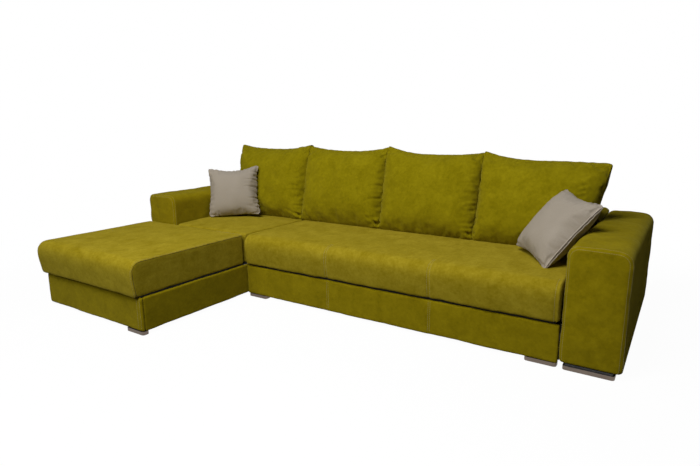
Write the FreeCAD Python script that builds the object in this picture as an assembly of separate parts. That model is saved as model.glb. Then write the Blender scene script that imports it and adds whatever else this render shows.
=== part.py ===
"""Corner sofa bed with a roll-out seat, a lifting storage seat and loose cushions.

Working frame, in millimetres: X runs along the sofa from its outer left side, Y runs back
from the front face of the chaise base, and Z runs up from the floor. Every piece is moved
to the middle of the footprint when it is saved.
"""
import os
import FreeCAD, Part
import math

Vec = FreeCAD.Vector

# Overall
WIDTH = 3200.0
REAR_Y = 2098.0
OVERHANG = 30.0
BASE_Z = 30.0
BASE_TOP = 215.0
PAD_Z = 227.0
SEAT_Z = 414.0
FIT = 0.3

# Sections along the sofa
ARM_W = 261.0
CHAISE_W = 952.0
MAIN_FRONT = 809.0
BACK_FRONT = 1640.0
RIGHT_ARM_X = WIDTH - ARM_W

# Arms
LEFT_ARM_TOP = 620.0
RIGHT_ARM_TOP = 597.0
ARM_ROUND = 55.0
ARM_PAD = 22.0
ARM_PAD_TOP = 34.0
ARM_BOARD = 18.0

# Upholstered base panels
PANEL = 22.0
PANEL_ROUND = 6.0
SIDE_GAP = 4.0

# Seat pads
PAD_ROUND = 62.0
PAD_EDGE = 14.0
PAD_LOWER_ROUND = 8.0
PAD_GAP = 3.0
LID_INSET = 12.0

# Storage box and lift
FLOOR_Z = 34.0
FLOOR_T = 8.0
LINK = 300.0
LINK_W = 24.0
LINK_T = 6.0
PIN_R = 5.0
RUN_GAP = 0.05
LOW_PIVOT_Z = 130.0
TOP_PIVOT_Z = 195.0
REAR_PIVOT_Y = 430.0
FRONT_PIVOT_Y = 80.0
LIFT_PLATE_T = 4.0
LIFT_PLATE_REACH = 30.0
LIFT_PLATE_HALF = 25.0
LUG_IN = 6.0
LUG_T = 4.0
LUG_HALF = 18.0
LUG_BELOW = 14.0
PIN_PAST = 3.0
PIN_SHORT = 0.5
LINK_IN = 12.0
TUBE_R = 10.0
FLANGE_T = 3.0
FLANGE_W = 20.0
FLANGE_REACH = 25.0

# Back frame
BACK_TOP = 575.0
BACK_TOP_T = 26.0
BACK_BOARD = 25.0
REAR_BOARD = 22.0
RIB_T = 18.0
RIB_CLEAR = 30.0

# Fixed platform behind the seat
PLATFORM_TOP = 196.0
PLATFORM_FRONT = 1070.0
PLATFORM_IN = 75.0
SLAT_T = 18.0
SLAT_W = 72.0
SLAT_COUNT = 14
RAIL_H = 60.0
RAIL_T = 25.0
LEG_W = 60.0

# Roll-out seat
FRAME_IN = 35.0
FRAME_T = 20.0
FRAME_Z = 60.0
FRAME_TOP = 217.0
FRAME_REAR = 1625.0
BEAM_Z = 200.0
BEAM_W = 25.0
SEAT_SLAT_T = 10.0
SEAT_SLAT_W = 56.0
SEAT_SLAT_COUNT = 9
CHANNEL_D = 16.0
CHANNEL_H = 44.0
CHANNEL_WALL = 4.0
CHANNEL_Z = 150.0
CHANNEL_FRONT = 850.0
BAR_PLAY = 0.1
WHEEL_R = 25.0
WHEEL_W = 18.0
AXLE_R = 4.0
BRACKET_T = 3.0
BRACKET_W = 34.0
BRACKET_BELOW = 12.0
BRACKET_ABOVE = 40.0
BAR_SHORT = 25.0
WHEEL_SIDE_GAP = 2.0
WHEEL_EDGE = 3.0
FIRST_SLAT_IN = 20.0
FRONT_WHEEL_Y = 910.0
REAR_WHEEL_Y = 1560.0

# Feet
FOOT_W = 150.0
CORNER_FOOT_D = 42.0
LEFT_FOOT_BACK = 60.0
FOOT_D = 90.0
FOOT_ROUND = 15.0
ARM_FOOT_IN = 19.0
SEAT_FOOT_D = 50.0
SEAT_FOOT_LEFT_IN = 16.0
SEAT_FOOT_RIGHT_IN = 7.0
ROLLING_FOOT_LIFT = 2.0

# Back cushions, with the seam between neighbours followed from its foot to its top
CUSHION_T = 215.0
CUSHION_SEAM = 10.0
CUSHION_GAP = 0.5
CUSHION_LEAN = 18.5
CUSHION_BEFORE_BACK = 192.0
CUSHION_FOOT_Y = BACK_FRONT - CUSHION_BEFORE_BACK
CUSHION_SINK = 20.0
CUSHION_FOOT_Z = SEAT_Z - CUSHION_SINK
CUSHION_REACH = 600.0
FIRST_SEAM_IN = 47.0
CORNER_SEAM_IN = 12.0
LAST_SEAM_IN = 44.0
THIRD = (RIGHT_ARM_X - CHAISE_W) / 3
SEAM_FOOT_X = (
    ARM_W + FIRST_SEAM_IN,
    CHAISE_W - CORNER_SEAM_IN,
    CHAISE_W + THIRD,
    CHAISE_W + 2 * THIRD,
    RIGHT_ARM_X - LAST_SEAM_IN,
)
SEAM_SWAY = (-124.0, -39.0, -35.0, -6.0, 116.0)
EAR_HEIGHT = (596.0, 596.0, 605.0, 581.0, 538.0)
MIDDLE_HEIGHT = (546.0, 571.0, 565.0, 536.0)

# Throw pillows
LEFT_PILLOW = 392.0
RIGHT_PILLOW = 417.0
PILLOW_T = 125.0
PILLOW_SEAM = 8.0
PILLOW_DRAW = 16.0
LEFT_PILLOW_OUT = 158.0
LEFT_PILLOW_BEFORE = 384.0
LEFT_PILLOW_UP = 192.0
RIGHT_PILLOW_OUT = 136.0
RIGHT_PILLOW_BEFORE = 412.0
RIGHT_PILLOW_UP = 174.0


def box(x_low, x_high, y_low, y_high, z_low, z_high):
    """Return a block between two opposite corners."""
    return Part.makeBox(x_high - x_low, y_high - y_low, z_high - z_low, Vec(x_low, y_low, z_low))


def bar_x(x_low, x_high, y, z, radius):
    """Return a round bar along X."""
    return Part.makeCylinder(radius, x_high - x_low, Vec(x_low, y, z), Vec(1, 0, 0))


def is_along(edge, axis):
    """Tell whether a straight edge runs along the axis with this index."""
    low = edge.Vertexes[0].Point
    high = edge.Vertexes[-1].Point
    reach = [abs(high[i] - low[i]) for i in range(3)]
    return reach[axis] > 0.99 * edge.Length


def near(value, target):
    """Tell whether two lengths agree."""
    return abs(value - target) < 0.01


def edges_where(shape, axis, test):
    """Return the straight edges along an axis whose middle passes a test."""
    return [e for e in shape.Edges if is_along(e, axis) and test(e.CenterOfMass)]


def soft_panel(x_low, x_high, y_low, y_high, z_low, z_high, radius=PANEL_ROUND):
    """Return a covered board with every edge softened."""
    block = box(x_low, x_high, y_low, y_high, z_low, z_high)
    return block.makeFillet(radius, block.Edges)


def save(name, shape):
    """Move a piece to the middle of the footprint and write it."""
    piece = shape.copy()
    piece.translate(Vec(-WIDTH / 2, -(REAR_Y - OVERHANG) / 2, 0))
    piece.exportStep("parts/" + name + ".step")


def join(shapes):
    """Return several touching shapes as one solid."""
    joined = shapes[0].multiFuse(shapes[1:])
    return joined.removeSplitter()


def mirrored(shape, middle_x):
    """Return a shape mirrored across a plane of constant X."""
    return shape.mirror(Vec(middle_x, 0, 0), Vec(1, 0, 0))


def seat_pad(x_low, x_high, y_front, y_rear):
    """Return a foam pad whose front edge rolls over."""
    arc_y = y_front + PAD_ROUND * (1 - math.sqrt(0.5))
    arc_z = SEAT_Z - PAD_ROUND * (1 - math.sqrt(0.5))
    low_y = y_front + PAD_LOWER_ROUND * (1 - math.sqrt(0.5))
    low_z = PAD_Z + PAD_LOWER_ROUND * (1 - math.sqrt(0.5))
    front_low = Vec(x_low, y_front, PAD_Z + PAD_LOWER_ROUND)
    front_high = Vec(x_low, y_front, SEAT_Z - PAD_ROUND)
    top_front = Vec(x_low, y_front + PAD_ROUND, SEAT_Z)
    top_rear = Vec(x_low, y_rear, SEAT_Z)
    low_rear = Vec(x_low, y_rear, PAD_Z)
    low_front = Vec(x_low, y_front + PAD_LOWER_ROUND, PAD_Z)
    edges = [
        Part.makeLine(front_low, front_high),
        Part.Arc(front_high, Vec(x_low, arc_y, arc_z), top_front).toShape(),
        Part.makeLine(top_front, top_rear),
        Part.makeLine(top_rear, low_rear),
        Part.makeLine(low_rear, low_front),
        Part.Arc(low_front, Vec(x_low, low_y, low_z), front_low).toShape(),
    ]
    solid = Part.Face(Part.Wire(edges)).extrude(Vec(x_high - x_low, 0, 0))
    rims = [e for e in solid.Edges if near(e.BoundBox.XLength, 0)]
    return solid.makeFillet(PAD_EDGE, rims)


def block_pad(x_low, x_high, y_front, y_rear):
    """Return a foam pad with softened upper edges and square lower ones."""
    block = box(x_low, x_high, y_front, y_rear, PAD_Z, SEAT_Z)
    soft = [e for e in block.Edges if e.CenterOfMass.z > PAD_Z + 1]
    return block.makeFillet(PAD_EDGE, soft)


def make_chaise_box():
    """Write the covered panels and the floor of the chaise base."""
    inner_y = MAIN_FRONT - PANEL
    save("chaise_front_panel", soft_panel(0, CHAISE_W, 0, PANEL, BASE_Z, BASE_TOP))
    save("chaise_left_panel", box(0, PANEL, PANEL, MAIN_FRONT, BASE_Z, BASE_TOP))
    save("chaise_right_panel",
         box(CHAISE_W - PANEL, CHAISE_W, PANEL, BACK_FRONT, BASE_Z, BASE_TOP))
    save("chaise_cross_panel", box(PANEL, CHAISE_W - PANEL, inner_y, MAIN_FRONT, BASE_Z, BASE_TOP))
    save("chaise_storage_floor",
         box(PANEL, CHAISE_W - PANEL, PANEL, inner_y, FLOOR_Z, FLOOR_Z + FLOOR_T))


def make_corner_seat():
    """Write the fixed seat beside the left arm."""
    save("corner_seat_board",
         box(ARM_W, CHAISE_W - LID_INSET, MAIN_FRONT + PAD_GAP, BACK_FRONT, BASE_TOP, PAD_Z))
    save("corner_seat_pad",
         block_pad(ARM_W + PAD_GAP, CHAISE_W - PAD_GAP, MAIN_FRONT + PAD_GAP, BACK_FRONT - PAD_GAP))


def link_run():
    """Return how far the upper pivot lies behind the lower one."""
    rise = TOP_PIVOT_Z - LOW_PIVOT_Z
    return math.sqrt(LINK * LINK - rise * rise)


def lift_link(x_low, low_pivot_y):
    """Return one flat link with a running hole at each end."""
    high_y = low_pivot_y + link_run()
    angle = math.degrees(math.asin((TOP_PIVOT_Z - LOW_PIVOT_Z) / LINK))
    radius = LINK_W / 2
    strip = box(x_low, x_low + LINK_T, low_pivot_y, low_pivot_y + LINK,
                LOW_PIVOT_Z - radius, LOW_PIVOT_Z + radius)
    strip.rotate(Vec(0, low_pivot_y, LOW_PIVOT_Z), Vec(1, 0, 0), angle)
    ends = [bar_x(x_low, x_low + LINK_T, low_pivot_y, LOW_PIVOT_Z, radius),
            bar_x(x_low, x_low + LINK_T, high_y, TOP_PIVOT_Z, radius)]
    body = join([strip] + ends)
    body = body.cut(bar_x(x_low, x_low + LINK_T, low_pivot_y, LOW_PIVOT_Z, PIN_R + RUN_GAP))
    return body.cut(bar_x(x_low, x_low + LINK_T, high_y, TOP_PIVOT_Z, PIN_R + RUN_GAP))


def lift_plate():
    """Return the left pivot plate with its two fixed pins."""
    inner = PANEL + LIFT_PLATE_T
    plate = box(PANEL, inner, FRONT_PIVOT_Y - LIFT_PLATE_REACH, REAR_PIVOT_Y + LIFT_PLATE_REACH,
                LOW_PIVOT_Z - LIFT_PLATE_HALF, LOW_PIVOT_Z + LIFT_PLATE_HALF)
    pin_end = PANEL + LINK_IN + LINK_T + PIN_PAST
    pins = [bar_x(inner, pin_end, y, LOW_PIVOT_Z, PIN_R) for y in (FRONT_PIVOT_Y, REAR_PIVOT_Y)]
    return join([plate] + pins)


def lid_bracket():
    """Return the left angle under the lid with two lugs and their pins."""
    x_low = PANEL + LUG_IN
    front_y = FRONT_PIVOT_Y + link_run()
    rear_y = REAR_PIVOT_Y + link_run()
    flange = box(x_low, x_low + FLANGE_W, front_y - FLANGE_REACH, rear_y + FLANGE_REACH,
                 BASE_TOP - FLANGE_T, BASE_TOP)
    pieces = [flange]
    for y in (front_y, rear_y):
        pieces.append(box(x_low, x_low + LUG_T, y - LUG_HALF, y + LUG_HALF,
                          TOP_PIVOT_Z - LUG_BELOW, BASE_TOP))
        pin_end = PANEL + LINK_IN + LINK_T - PIN_SHORT
        pieces.append(bar_x(x_low + LUG_T, pin_end, y, TOP_PIVOT_Z, PIN_R))
    return join(pieces)


def make_lid():
    """Write the lifting seat of the chaise and its linkage."""
    middle = CHAISE_W / 2
    save("chaise_lid_board",
         box(LID_INSET, CHAISE_W - LID_INSET, LID_INSET, MAIN_FRONT - LID_INSET, BASE_TOP, PAD_Z))
    save("chaise_lid_pad", seat_pad(0, CHAISE_W - PAD_GAP, -OVERHANG, MAIN_FRONT - PAD_GAP))
    save("lid_bracket_left", lid_bracket())
    save("lid_bracket_right", mirrored(lid_bracket(), middle))
    save("lift_plate_left", lift_plate())
    save("lift_plate_right", mirrored(lift_plate(), middle))
    link_x = PANEL + LINK_IN
    for name, pivot_y in (("front", FRONT_PIVOT_Y), ("rear", REAR_PIVOT_Y)):
        link = lift_link(link_x, pivot_y)
        save("lift_link_" + name + "_left", link)
        save("lift_link_" + name + "_right", mirrored(link, middle))
    tube_x = link_x + LINK_T
    save("lift_cross_tube",
         bar_x(tube_x, CHAISE_W - tube_x, REAR_PIVOT_Y + link_run(), TOP_PIVOT_Z, TUBE_R))


def arm_frame(x_low, top_z):
    """Return the hollow wooden core of an arm, open at the bottom."""
    x_in = x_low + ARM_PAD
    x_out = x_low + ARM_W - ARM_PAD
    outer = box(x_in, x_out, MAIN_FRONT + ARM_PAD, REAR_Y - ARM_PAD, BASE_Z, top_z - ARM_PAD_TOP)
    hollow = box(x_in + ARM_BOARD, x_out - ARM_BOARD,
                 MAIN_FRONT + ARM_PAD + ARM_BOARD, REAR_Y - ARM_PAD - ARM_BOARD,
                 BASE_Z, top_z - ARM_PAD_TOP - ARM_BOARD)
    return outer.cut(hollow)


def arm_cover(x_low, top_z):
    """Return the padded cover of an arm with a rolled top."""
    block = box(x_low, x_low + ARM_W, MAIN_FRONT, REAR_Y, BASE_Z, top_z)
    top = edges_where(block, 1, lambda p: near(p.z, top_z))
    rolled = block.makeFillet(ARM_ROUND, top)
    ends = [e for e in rolled.Edges if near(e.BoundBox.YLength, 0) and e.CenterOfMass.z > BASE_Z + 1]
    soft = rolled.makeFillet(ARM_PAD / 2, ends)
    core = box(x_low + ARM_PAD, x_low + ARM_W - ARM_PAD, MAIN_FRONT + ARM_PAD,
               REAR_Y - ARM_PAD, BASE_Z, top_z - ARM_PAD_TOP)
    return soft.cut(core)


def make_arms():
    """Write both arms."""
    for name, x_low, top_z in (("left", 0.0, LEFT_ARM_TOP), ("right", RIGHT_ARM_X, RIGHT_ARM_TOP)):
        save(name + "_arm_frame", arm_frame(x_low, top_z))
        save(name + "_arm_cover", arm_cover(x_low, top_z))


def make_back():
    """Write the low box behind the cushions."""
    rib_top = BACK_TOP - BACK_TOP_T
    save("back_front_panel",
         box(ARM_W, RIGHT_ARM_X, BACK_FRONT, BACK_FRONT + BACK_BOARD, BASE_TOP, rib_top))
    top = box(ARM_W, RIGHT_ARM_X, BACK_FRONT, REAR_Y, rib_top, BACK_TOP)
    rims = edges_where(top, 0, lambda p: near(p.z, BACK_TOP))
    save("back_top_pad", top.makeFillet(BACK_TOP_T / 2, rims))
    save("back_rear_panel",
         box(ARM_W, RIGHT_ARM_X, REAR_Y - REAR_BOARD, REAR_Y, BASE_Z, rib_top))
    rib_starts = (ARM_W + RIB_CLEAR, (ARM_W + RIGHT_ARM_X - RIB_T) / 2, RIGHT_ARM_X - RIB_CLEAR - RIB_T)
    for number, x_low in enumerate(rib_starts, start=1):
        z_low = 0 if number == 2 else BASE_Z
        rib = box(x_low, x_low + RIB_T, BACK_FRONT + BACK_BOARD, REAR_Y - REAR_BOARD, z_low, rib_top)
        save("back_rib_" + str(number), rib)


def make_platform():
    """Write the fixed slatted platform that the seat uncovers."""
    x_low = CHAISE_W + PLATFORM_IN
    x_high = RIGHT_ARM_X - PLATFORM_IN
    slat_z = PLATFORM_TOP - SLAT_T
    save("platform_front_rail",
         box(x_low, x_high, PLATFORM_FRONT, PLATFORM_FRONT + RAIL_T, slat_z - RAIL_H, slat_z))
    save("platform_rear_rail",
         box(CHAISE_W, RIGHT_ARM_X, BACK_FRONT, BACK_FRONT + BACK_BOARD, slat_z - RAIL_H, slat_z))
    pitch = (x_high - x_low - SLAT_W) / (SLAT_COUNT - 1)
    slats = []
    for number in range(SLAT_COUNT):
        start = x_low + number * pitch
        slats.append(box(start, start + SLAT_W, PLATFORM_FRONT, BACK_FRONT + BACK_BOARD,
                         slat_z, PLATFORM_TOP))
    save("platform_slats", Part.makeCompound(slats))
    middle = (x_low + x_high) / 2
    for name, centre in (("left", x_low + LEG_W / 2), ("middle", middle), ("right", x_high - LEG_W / 2)):
        leg = box(centre - LEG_W / 2, centre + LEG_W / 2,
                  PLATFORM_FRONT + RAIL_T, PLATFORM_FRONT + RAIL_T + LEG_W, 0, slat_z)
        save("platform_leg_" + name, leg)


def slide_channel():
    """Return the left fixed channel of the seat slide."""
    x_low = CHAISE_W
    x_high = CHAISE_W + CHANNEL_D
    z_low = CHANNEL_Z - CHANNEL_H / 2
    z_high = CHANNEL_Z + CHANNEL_H / 2
    outer = box(x_low, x_high, CHANNEL_FRONT, BACK_FRONT - PAD_GAP, z_low, z_high)
    slot = box(x_low + CHANNEL_WALL, x_high, CHANNEL_FRONT, BACK_FRONT - PAD_GAP,
               z_low + CHANNEL_WALL, z_high - CHANNEL_WALL)
    return outer.cut(slot)


def seat_side_frame():
    """Return the left side frame with its slide bar, wheel brackets and axles."""
    x_low = CHAISE_W + FRAME_IN
    board = box(x_low, x_low + FRAME_T, MAIN_FRONT + PANEL, FRAME_REAR, FRAME_Z, FRAME_TOP)
    half = CHANNEL_H / 2 - CHANNEL_WALL - BAR_PLAY
    bar = box(CHAISE_W + CHANNEL_WALL + BAR_PLAY, x_low, MAIN_FRONT + PANEL, FRAME_REAR - BAR_SHORT,
              CHANNEL_Z - half, CHANNEL_Z + half)
    pieces = [board, bar]
    for y in (FRONT_WHEEL_Y, REAR_WHEEL_Y):
        pieces.append(box(x_low - BRACKET_T, x_low, y - BRACKET_W / 2, y + BRACKET_W / 2,
                          WHEEL_R - BRACKET_BELOW, FRAME_Z + BRACKET_ABOVE))
        pieces.append(bar_x(wheel_start() - WHEEL_SIDE_GAP, x_low, y, WHEEL_R, AXLE_R))
    return join(pieces)


def wheel_start():
    """Return the X of the outer face of the left wheels."""
    return CHAISE_W + FRAME_IN - BRACKET_T - WHEEL_SIDE_GAP - WHEEL_W


def wheel(y):
    """Return one left wheel with a running bore."""
    x_low = wheel_start()
    tyre = bar_x(x_low, x_low + WHEEL_W, y, WHEEL_R, WHEEL_R)
    rims = [e for e in tyre.Edges if e.Length > WHEEL_R * 5 and near(e.BoundBox.XLength, 0)]
    tyre = tyre.makeFillet(WHEEL_EDGE, rims)
    return tyre.cut(bar_x(x_low, x_low + WHEEL_W, y, WHEEL_R, AXLE_R + RUN_GAP))


def make_rollout():
    """Write the roll-out seat module and the channels that guide it."""
    middle = (CHAISE_W + RIGHT_ARM_X) / 2
    frame_x = CHAISE_W + FRAME_IN
    frame_end = RIGHT_ARM_X - FRAME_IN
    save("slide_channel_left", slide_channel())
    save("slide_channel_right", mirrored(slide_channel(), middle))
    save("seat_side_frame_left", seat_side_frame())
    save("seat_side_frame_right", mirrored(seat_side_frame(), middle))
    for name, y in (("front", FRONT_WHEEL_Y), ("rear", REAR_WHEEL_Y)):
        save("wheel_" + name + "_left", wheel(y))
        save("wheel_" + name + "_right", mirrored(wheel(y), middle))
    save("seat_front_panel",
         soft_panel(CHAISE_W + SIDE_GAP, RIGHT_ARM_X - SIDE_GAP, MAIN_FRONT, MAIN_FRONT + PANEL,
                    BASE_Z, BASE_TOP))
    inner_low = frame_x + FRAME_T
    inner_high = frame_end - FRAME_T
    save("seat_rear_beam", box(inner_low, inner_high, FRAME_REAR - BEAM_W, FRAME_REAR, BEAM_Z, FRAME_TOP))
    save("seat_centre_rail",
         box(middle - BEAM_W / 2, middle + BEAM_W / 2, MAIN_FRONT + PANEL, FRAME_REAR - BEAM_W,
             BEAM_Z, FRAME_TOP))
    first = MAIN_FRONT + PANEL + FIRST_SLAT_IN
    pitch = (FRAME_REAR - SEAT_SLAT_W - first) / (SEAT_SLAT_COUNT - 1)
    slats = []
    for number in range(SEAT_SLAT_COUNT):
        y_low = first + number * pitch
        slats.append(box(frame_x, frame_end, y_low, y_low + SEAT_SLAT_W, FRAME_TOP,
                         FRAME_TOP + SEAT_SLAT_T))
    save("seat_slats", Part.makeCompound(slats))
    save("seat_pad",
         seat_pad(CHAISE_W + PAD_GAP, RIGHT_ARM_X - 2 * PAD_GAP, MAIN_FRONT - OVERHANG,
                  BACK_FRONT - PAD_GAP))


def foot(x_low, x_high, y_low, y_high, z_low):
    """Return a flat metal foot with rounded upright corners."""
    block = box(x_low, x_high, y_low, y_high, z_low, BASE_Z)
    upright = [e for e in block.Edges if is_along(e, 2)]
    return block.makeFillet(FOOT_ROUND, upright)


def make_feet():
    """Write the metal feet."""
    seat_left = CHAISE_W + SEAT_FOOT_LEFT_IN
    seat_right = RIGHT_ARM_X - SEAT_FOOT_RIGHT_IN
    front = MAIN_FRONT
    save("chaise_foot_left", foot(0, CORNER_FOOT_D, LEFT_FOOT_BACK, LEFT_FOOT_BACK + FOOT_W, 0))
    save("chaise_foot_right", foot(CHAISE_W - FOOT_W, CHAISE_W, 0, CORNER_FOOT_D, 0))
    save("seat_foot_left", foot(seat_left, seat_left + FOOT_W, front, front + SEAT_FOOT_D, ROLLING_FOOT_LIFT))
    save("seat_foot_right", foot(seat_right - FOOT_W, seat_right, front, front + SEAT_FOOT_D, ROLLING_FOOT_LIFT))
    save("right_arm_foot",
         foot(RIGHT_ARM_X + ARM_FOOT_IN, WIDTH - ARM_FOOT_IN, front, front + FOOT_D, 0))
    save("rear_foot_left", foot(ARM_FOOT_IN, ARM_W - ARM_FOOT_IN, REAR_Y - FOOT_D, REAR_Y, 0))
    save("rear_foot_right",
         foot(RIGHT_ARM_X + ARM_FOOT_IN, WIDTH - ARM_FOOT_IN, REAR_Y - FOOT_D, REAR_Y, 0))


def lens(place, u, v_low, v_high, thick, seam):
    """Return one closed section of a cushion, with an arc on each face."""
    middle = (v_low + v_high) / 2
    low_front = place(u, v_low, -seam / 2)
    high_front = place(u, v_high, -seam / 2)
    high_back = place(u, v_high, seam / 2)
    low_back = place(u, v_low, seam / 2)
    edges = [
        Part.Arc(low_front, place(u, middle, -thick / 2), high_front).toShape(),
        Part.makeLine(high_front, high_back),
        Part.Arc(high_back, place(u, middle, thick / 2), low_back).toShape(),
        Part.makeLine(low_back, low_front),
    ]
    return Part.Wire(edges)


def above_seat():
    """Return the room over the seat, which trims what stands on it flat."""
    return box(-WIDTH, 2 * WIDTH, -REAR_Y, 2 * REAR_Y, SEAT_Z + FIT, 2 * REAR_Y)


def swell(share, thick, seam):
    """Return the thickness of a cushion at a share of its width."""
    side = abs(2 * share - 1)
    return seam + 2 + (thick - seam - 2) * math.sqrt(max(0.0, 1 - side ** 2.6))


SHARES = (0.0, 0.03, 0.1, 0.25, 0.5, 0.75, 0.9, 0.97, 1.0)


def back_cushion(number):
    """Return one leaning back cushion with raised upper corners."""
    lean = math.radians(CUSHION_LEAN)
    foot_low = SEAM_FOOT_X[number] + CUSHION_GAP
    foot_high = SEAM_FOOT_X[number + 1] - CUSHION_GAP

    def place(u, v, w):
        rise = v / CUSHION_REACH
        x_low = foot_low + SEAM_SWAY[number] * rise
        x_high = foot_high + SEAM_SWAY[number + 1] * rise
        y = CUSHION_FOOT_Y + v * math.sin(lean) + w * math.cos(lean)
        z = CUSHION_FOOT_Z + v * math.cos(lean) - w * math.sin(lean)
        return Vec(x_low + (x_high - x_low) * u, y, z)

    sections = []
    for share in SHARES:
        ear = EAR_HEIGHT[number] if share < 0.5 else EAR_HEIGHT[number + 1]
        high = MIDDLE_HEIGHT[number] + (ear - MIDDLE_HEIGHT[number]) * abs(2 * share - 1) ** 3
        sections.append(lens(place, share, 0.0, high, swell(share, CUSHION_T, CUSHION_SEAM), CUSHION_SEAM))
    solid = Part.makeLoft(sections, True)
    return solid.common(above_seat())


def make_cushions():
    """Write the four loose back cushions."""
    for number in range(len(MIDDLE_HEIGHT)):
        save("back_cushion_" + str(number + 1), back_cushion(number))


def pillow(centre, across, upward, size):
    """Return a square knife-edge pillow from its middle and two edge directions."""
    across.normalize()
    upward.normalize()
    facing = across.cross(upward)

    def place(u, v, w):
        return centre + across * ((u - 0.5) * size) + upward * v + facing * w

    sections = []
    for share in SHARES:
        side = abs(2 * share - 1)
        reach = size / 2 - PILLOW_DRAW * (1 - side ** 2)
        sections.append(lens(place, share, -reach, reach, swell(share, PILLOW_T, PILLOW_SEAM), PILLOW_SEAM))
    return Part.makeLoft(sections, True)


def make_pillows():
    """Write the two throw pillows where they lean."""
    left_middle = Vec(ARM_W + LEFT_PILLOW_OUT, BACK_FRONT - LEFT_PILLOW_BEFORE, SEAT_Z + LEFT_PILLOW_UP)
    right_middle = Vec(RIGHT_ARM_X - RIGHT_PILLOW_OUT, BACK_FRONT - RIGHT_PILLOW_BEFORE,
                       SEAT_Z + RIGHT_PILLOW_UP)
    left = pillow(left_middle, Vec(0.795, 0.602, 0.048), Vec(-0.257, 0.268, 0.930), LEFT_PILLOW)
    right = pillow(right_middle, Vec(0.547, 0.314, 0.775), Vec(-0.576, 0.813, 0.079), RIGHT_PILLOW)
    keep = above_seat()
    save("pillow_left", left.common(keep))
    save("pillow_right", right.common(keep))


def main():
    """Write every piece."""
    os.makedirs("parts", exist_ok=True)
    make_chaise_box()
    make_corner_seat()
    make_lid()
    make_arms()
    make_back()
    make_platform()
    make_rollout()
    make_feet()
    make_cushions()
    make_pillows()


main()
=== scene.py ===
"""Corner sofa bed: soft goods, finishes, stitching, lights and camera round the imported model."""

import logging
import math
from contextlib import contextmanager
from dataclasses import dataclass
from enum import Enum
from typing import Iterator, Optional, Sequence, Union

import bmesh
import bpy
import numpy as np
from mathutils import Matrix, Vector
from mathutils.bvhtree import BVHTree


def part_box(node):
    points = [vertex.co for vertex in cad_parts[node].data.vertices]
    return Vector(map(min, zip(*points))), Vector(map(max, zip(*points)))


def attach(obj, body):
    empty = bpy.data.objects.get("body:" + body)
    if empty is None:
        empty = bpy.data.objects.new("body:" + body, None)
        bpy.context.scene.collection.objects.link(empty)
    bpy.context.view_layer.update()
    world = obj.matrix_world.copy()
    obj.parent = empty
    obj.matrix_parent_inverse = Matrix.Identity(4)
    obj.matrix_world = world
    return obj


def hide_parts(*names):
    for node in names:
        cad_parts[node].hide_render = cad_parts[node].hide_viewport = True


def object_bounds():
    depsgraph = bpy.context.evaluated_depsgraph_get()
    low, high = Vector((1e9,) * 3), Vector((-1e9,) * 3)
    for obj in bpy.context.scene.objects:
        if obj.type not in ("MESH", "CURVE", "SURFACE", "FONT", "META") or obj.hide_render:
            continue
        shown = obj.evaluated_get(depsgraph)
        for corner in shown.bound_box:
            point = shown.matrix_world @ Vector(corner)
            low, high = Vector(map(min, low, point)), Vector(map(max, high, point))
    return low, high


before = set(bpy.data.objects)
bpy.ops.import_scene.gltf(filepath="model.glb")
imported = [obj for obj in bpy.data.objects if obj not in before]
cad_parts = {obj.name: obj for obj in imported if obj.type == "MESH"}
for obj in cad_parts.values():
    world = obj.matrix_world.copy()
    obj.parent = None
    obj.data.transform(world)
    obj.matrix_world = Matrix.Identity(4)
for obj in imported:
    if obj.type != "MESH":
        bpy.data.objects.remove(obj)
CAD_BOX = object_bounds()
LOG = logging.getLogger("sofa")

Array = np.ndarray
Point = Sequence[float]
Colour = tuple[float, float, float]
Range = tuple[float, float]
Material = bpy.types.Material
Object = bpy.types.Object
Socket = bpy.types.NodeSocket


class Body(str, Enum):
    """The bodies that new pieces ride on."""

    FRAME = "sofa_frame"
    SEAT = "seat_module"
    LID = "storage_lid"


class Slot(str, Enum):
    """The material slots of the record."""

    SEAT = "seat_cloth"
    COVER = "cover_cloth"
    CUSHION = "cushion_cloth"
    PILLOW = "pillow_cloth"


class Axis(Enum):
    """Directions in the row frame."""

    X = 0
    Y = 1


# Finishes


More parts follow.
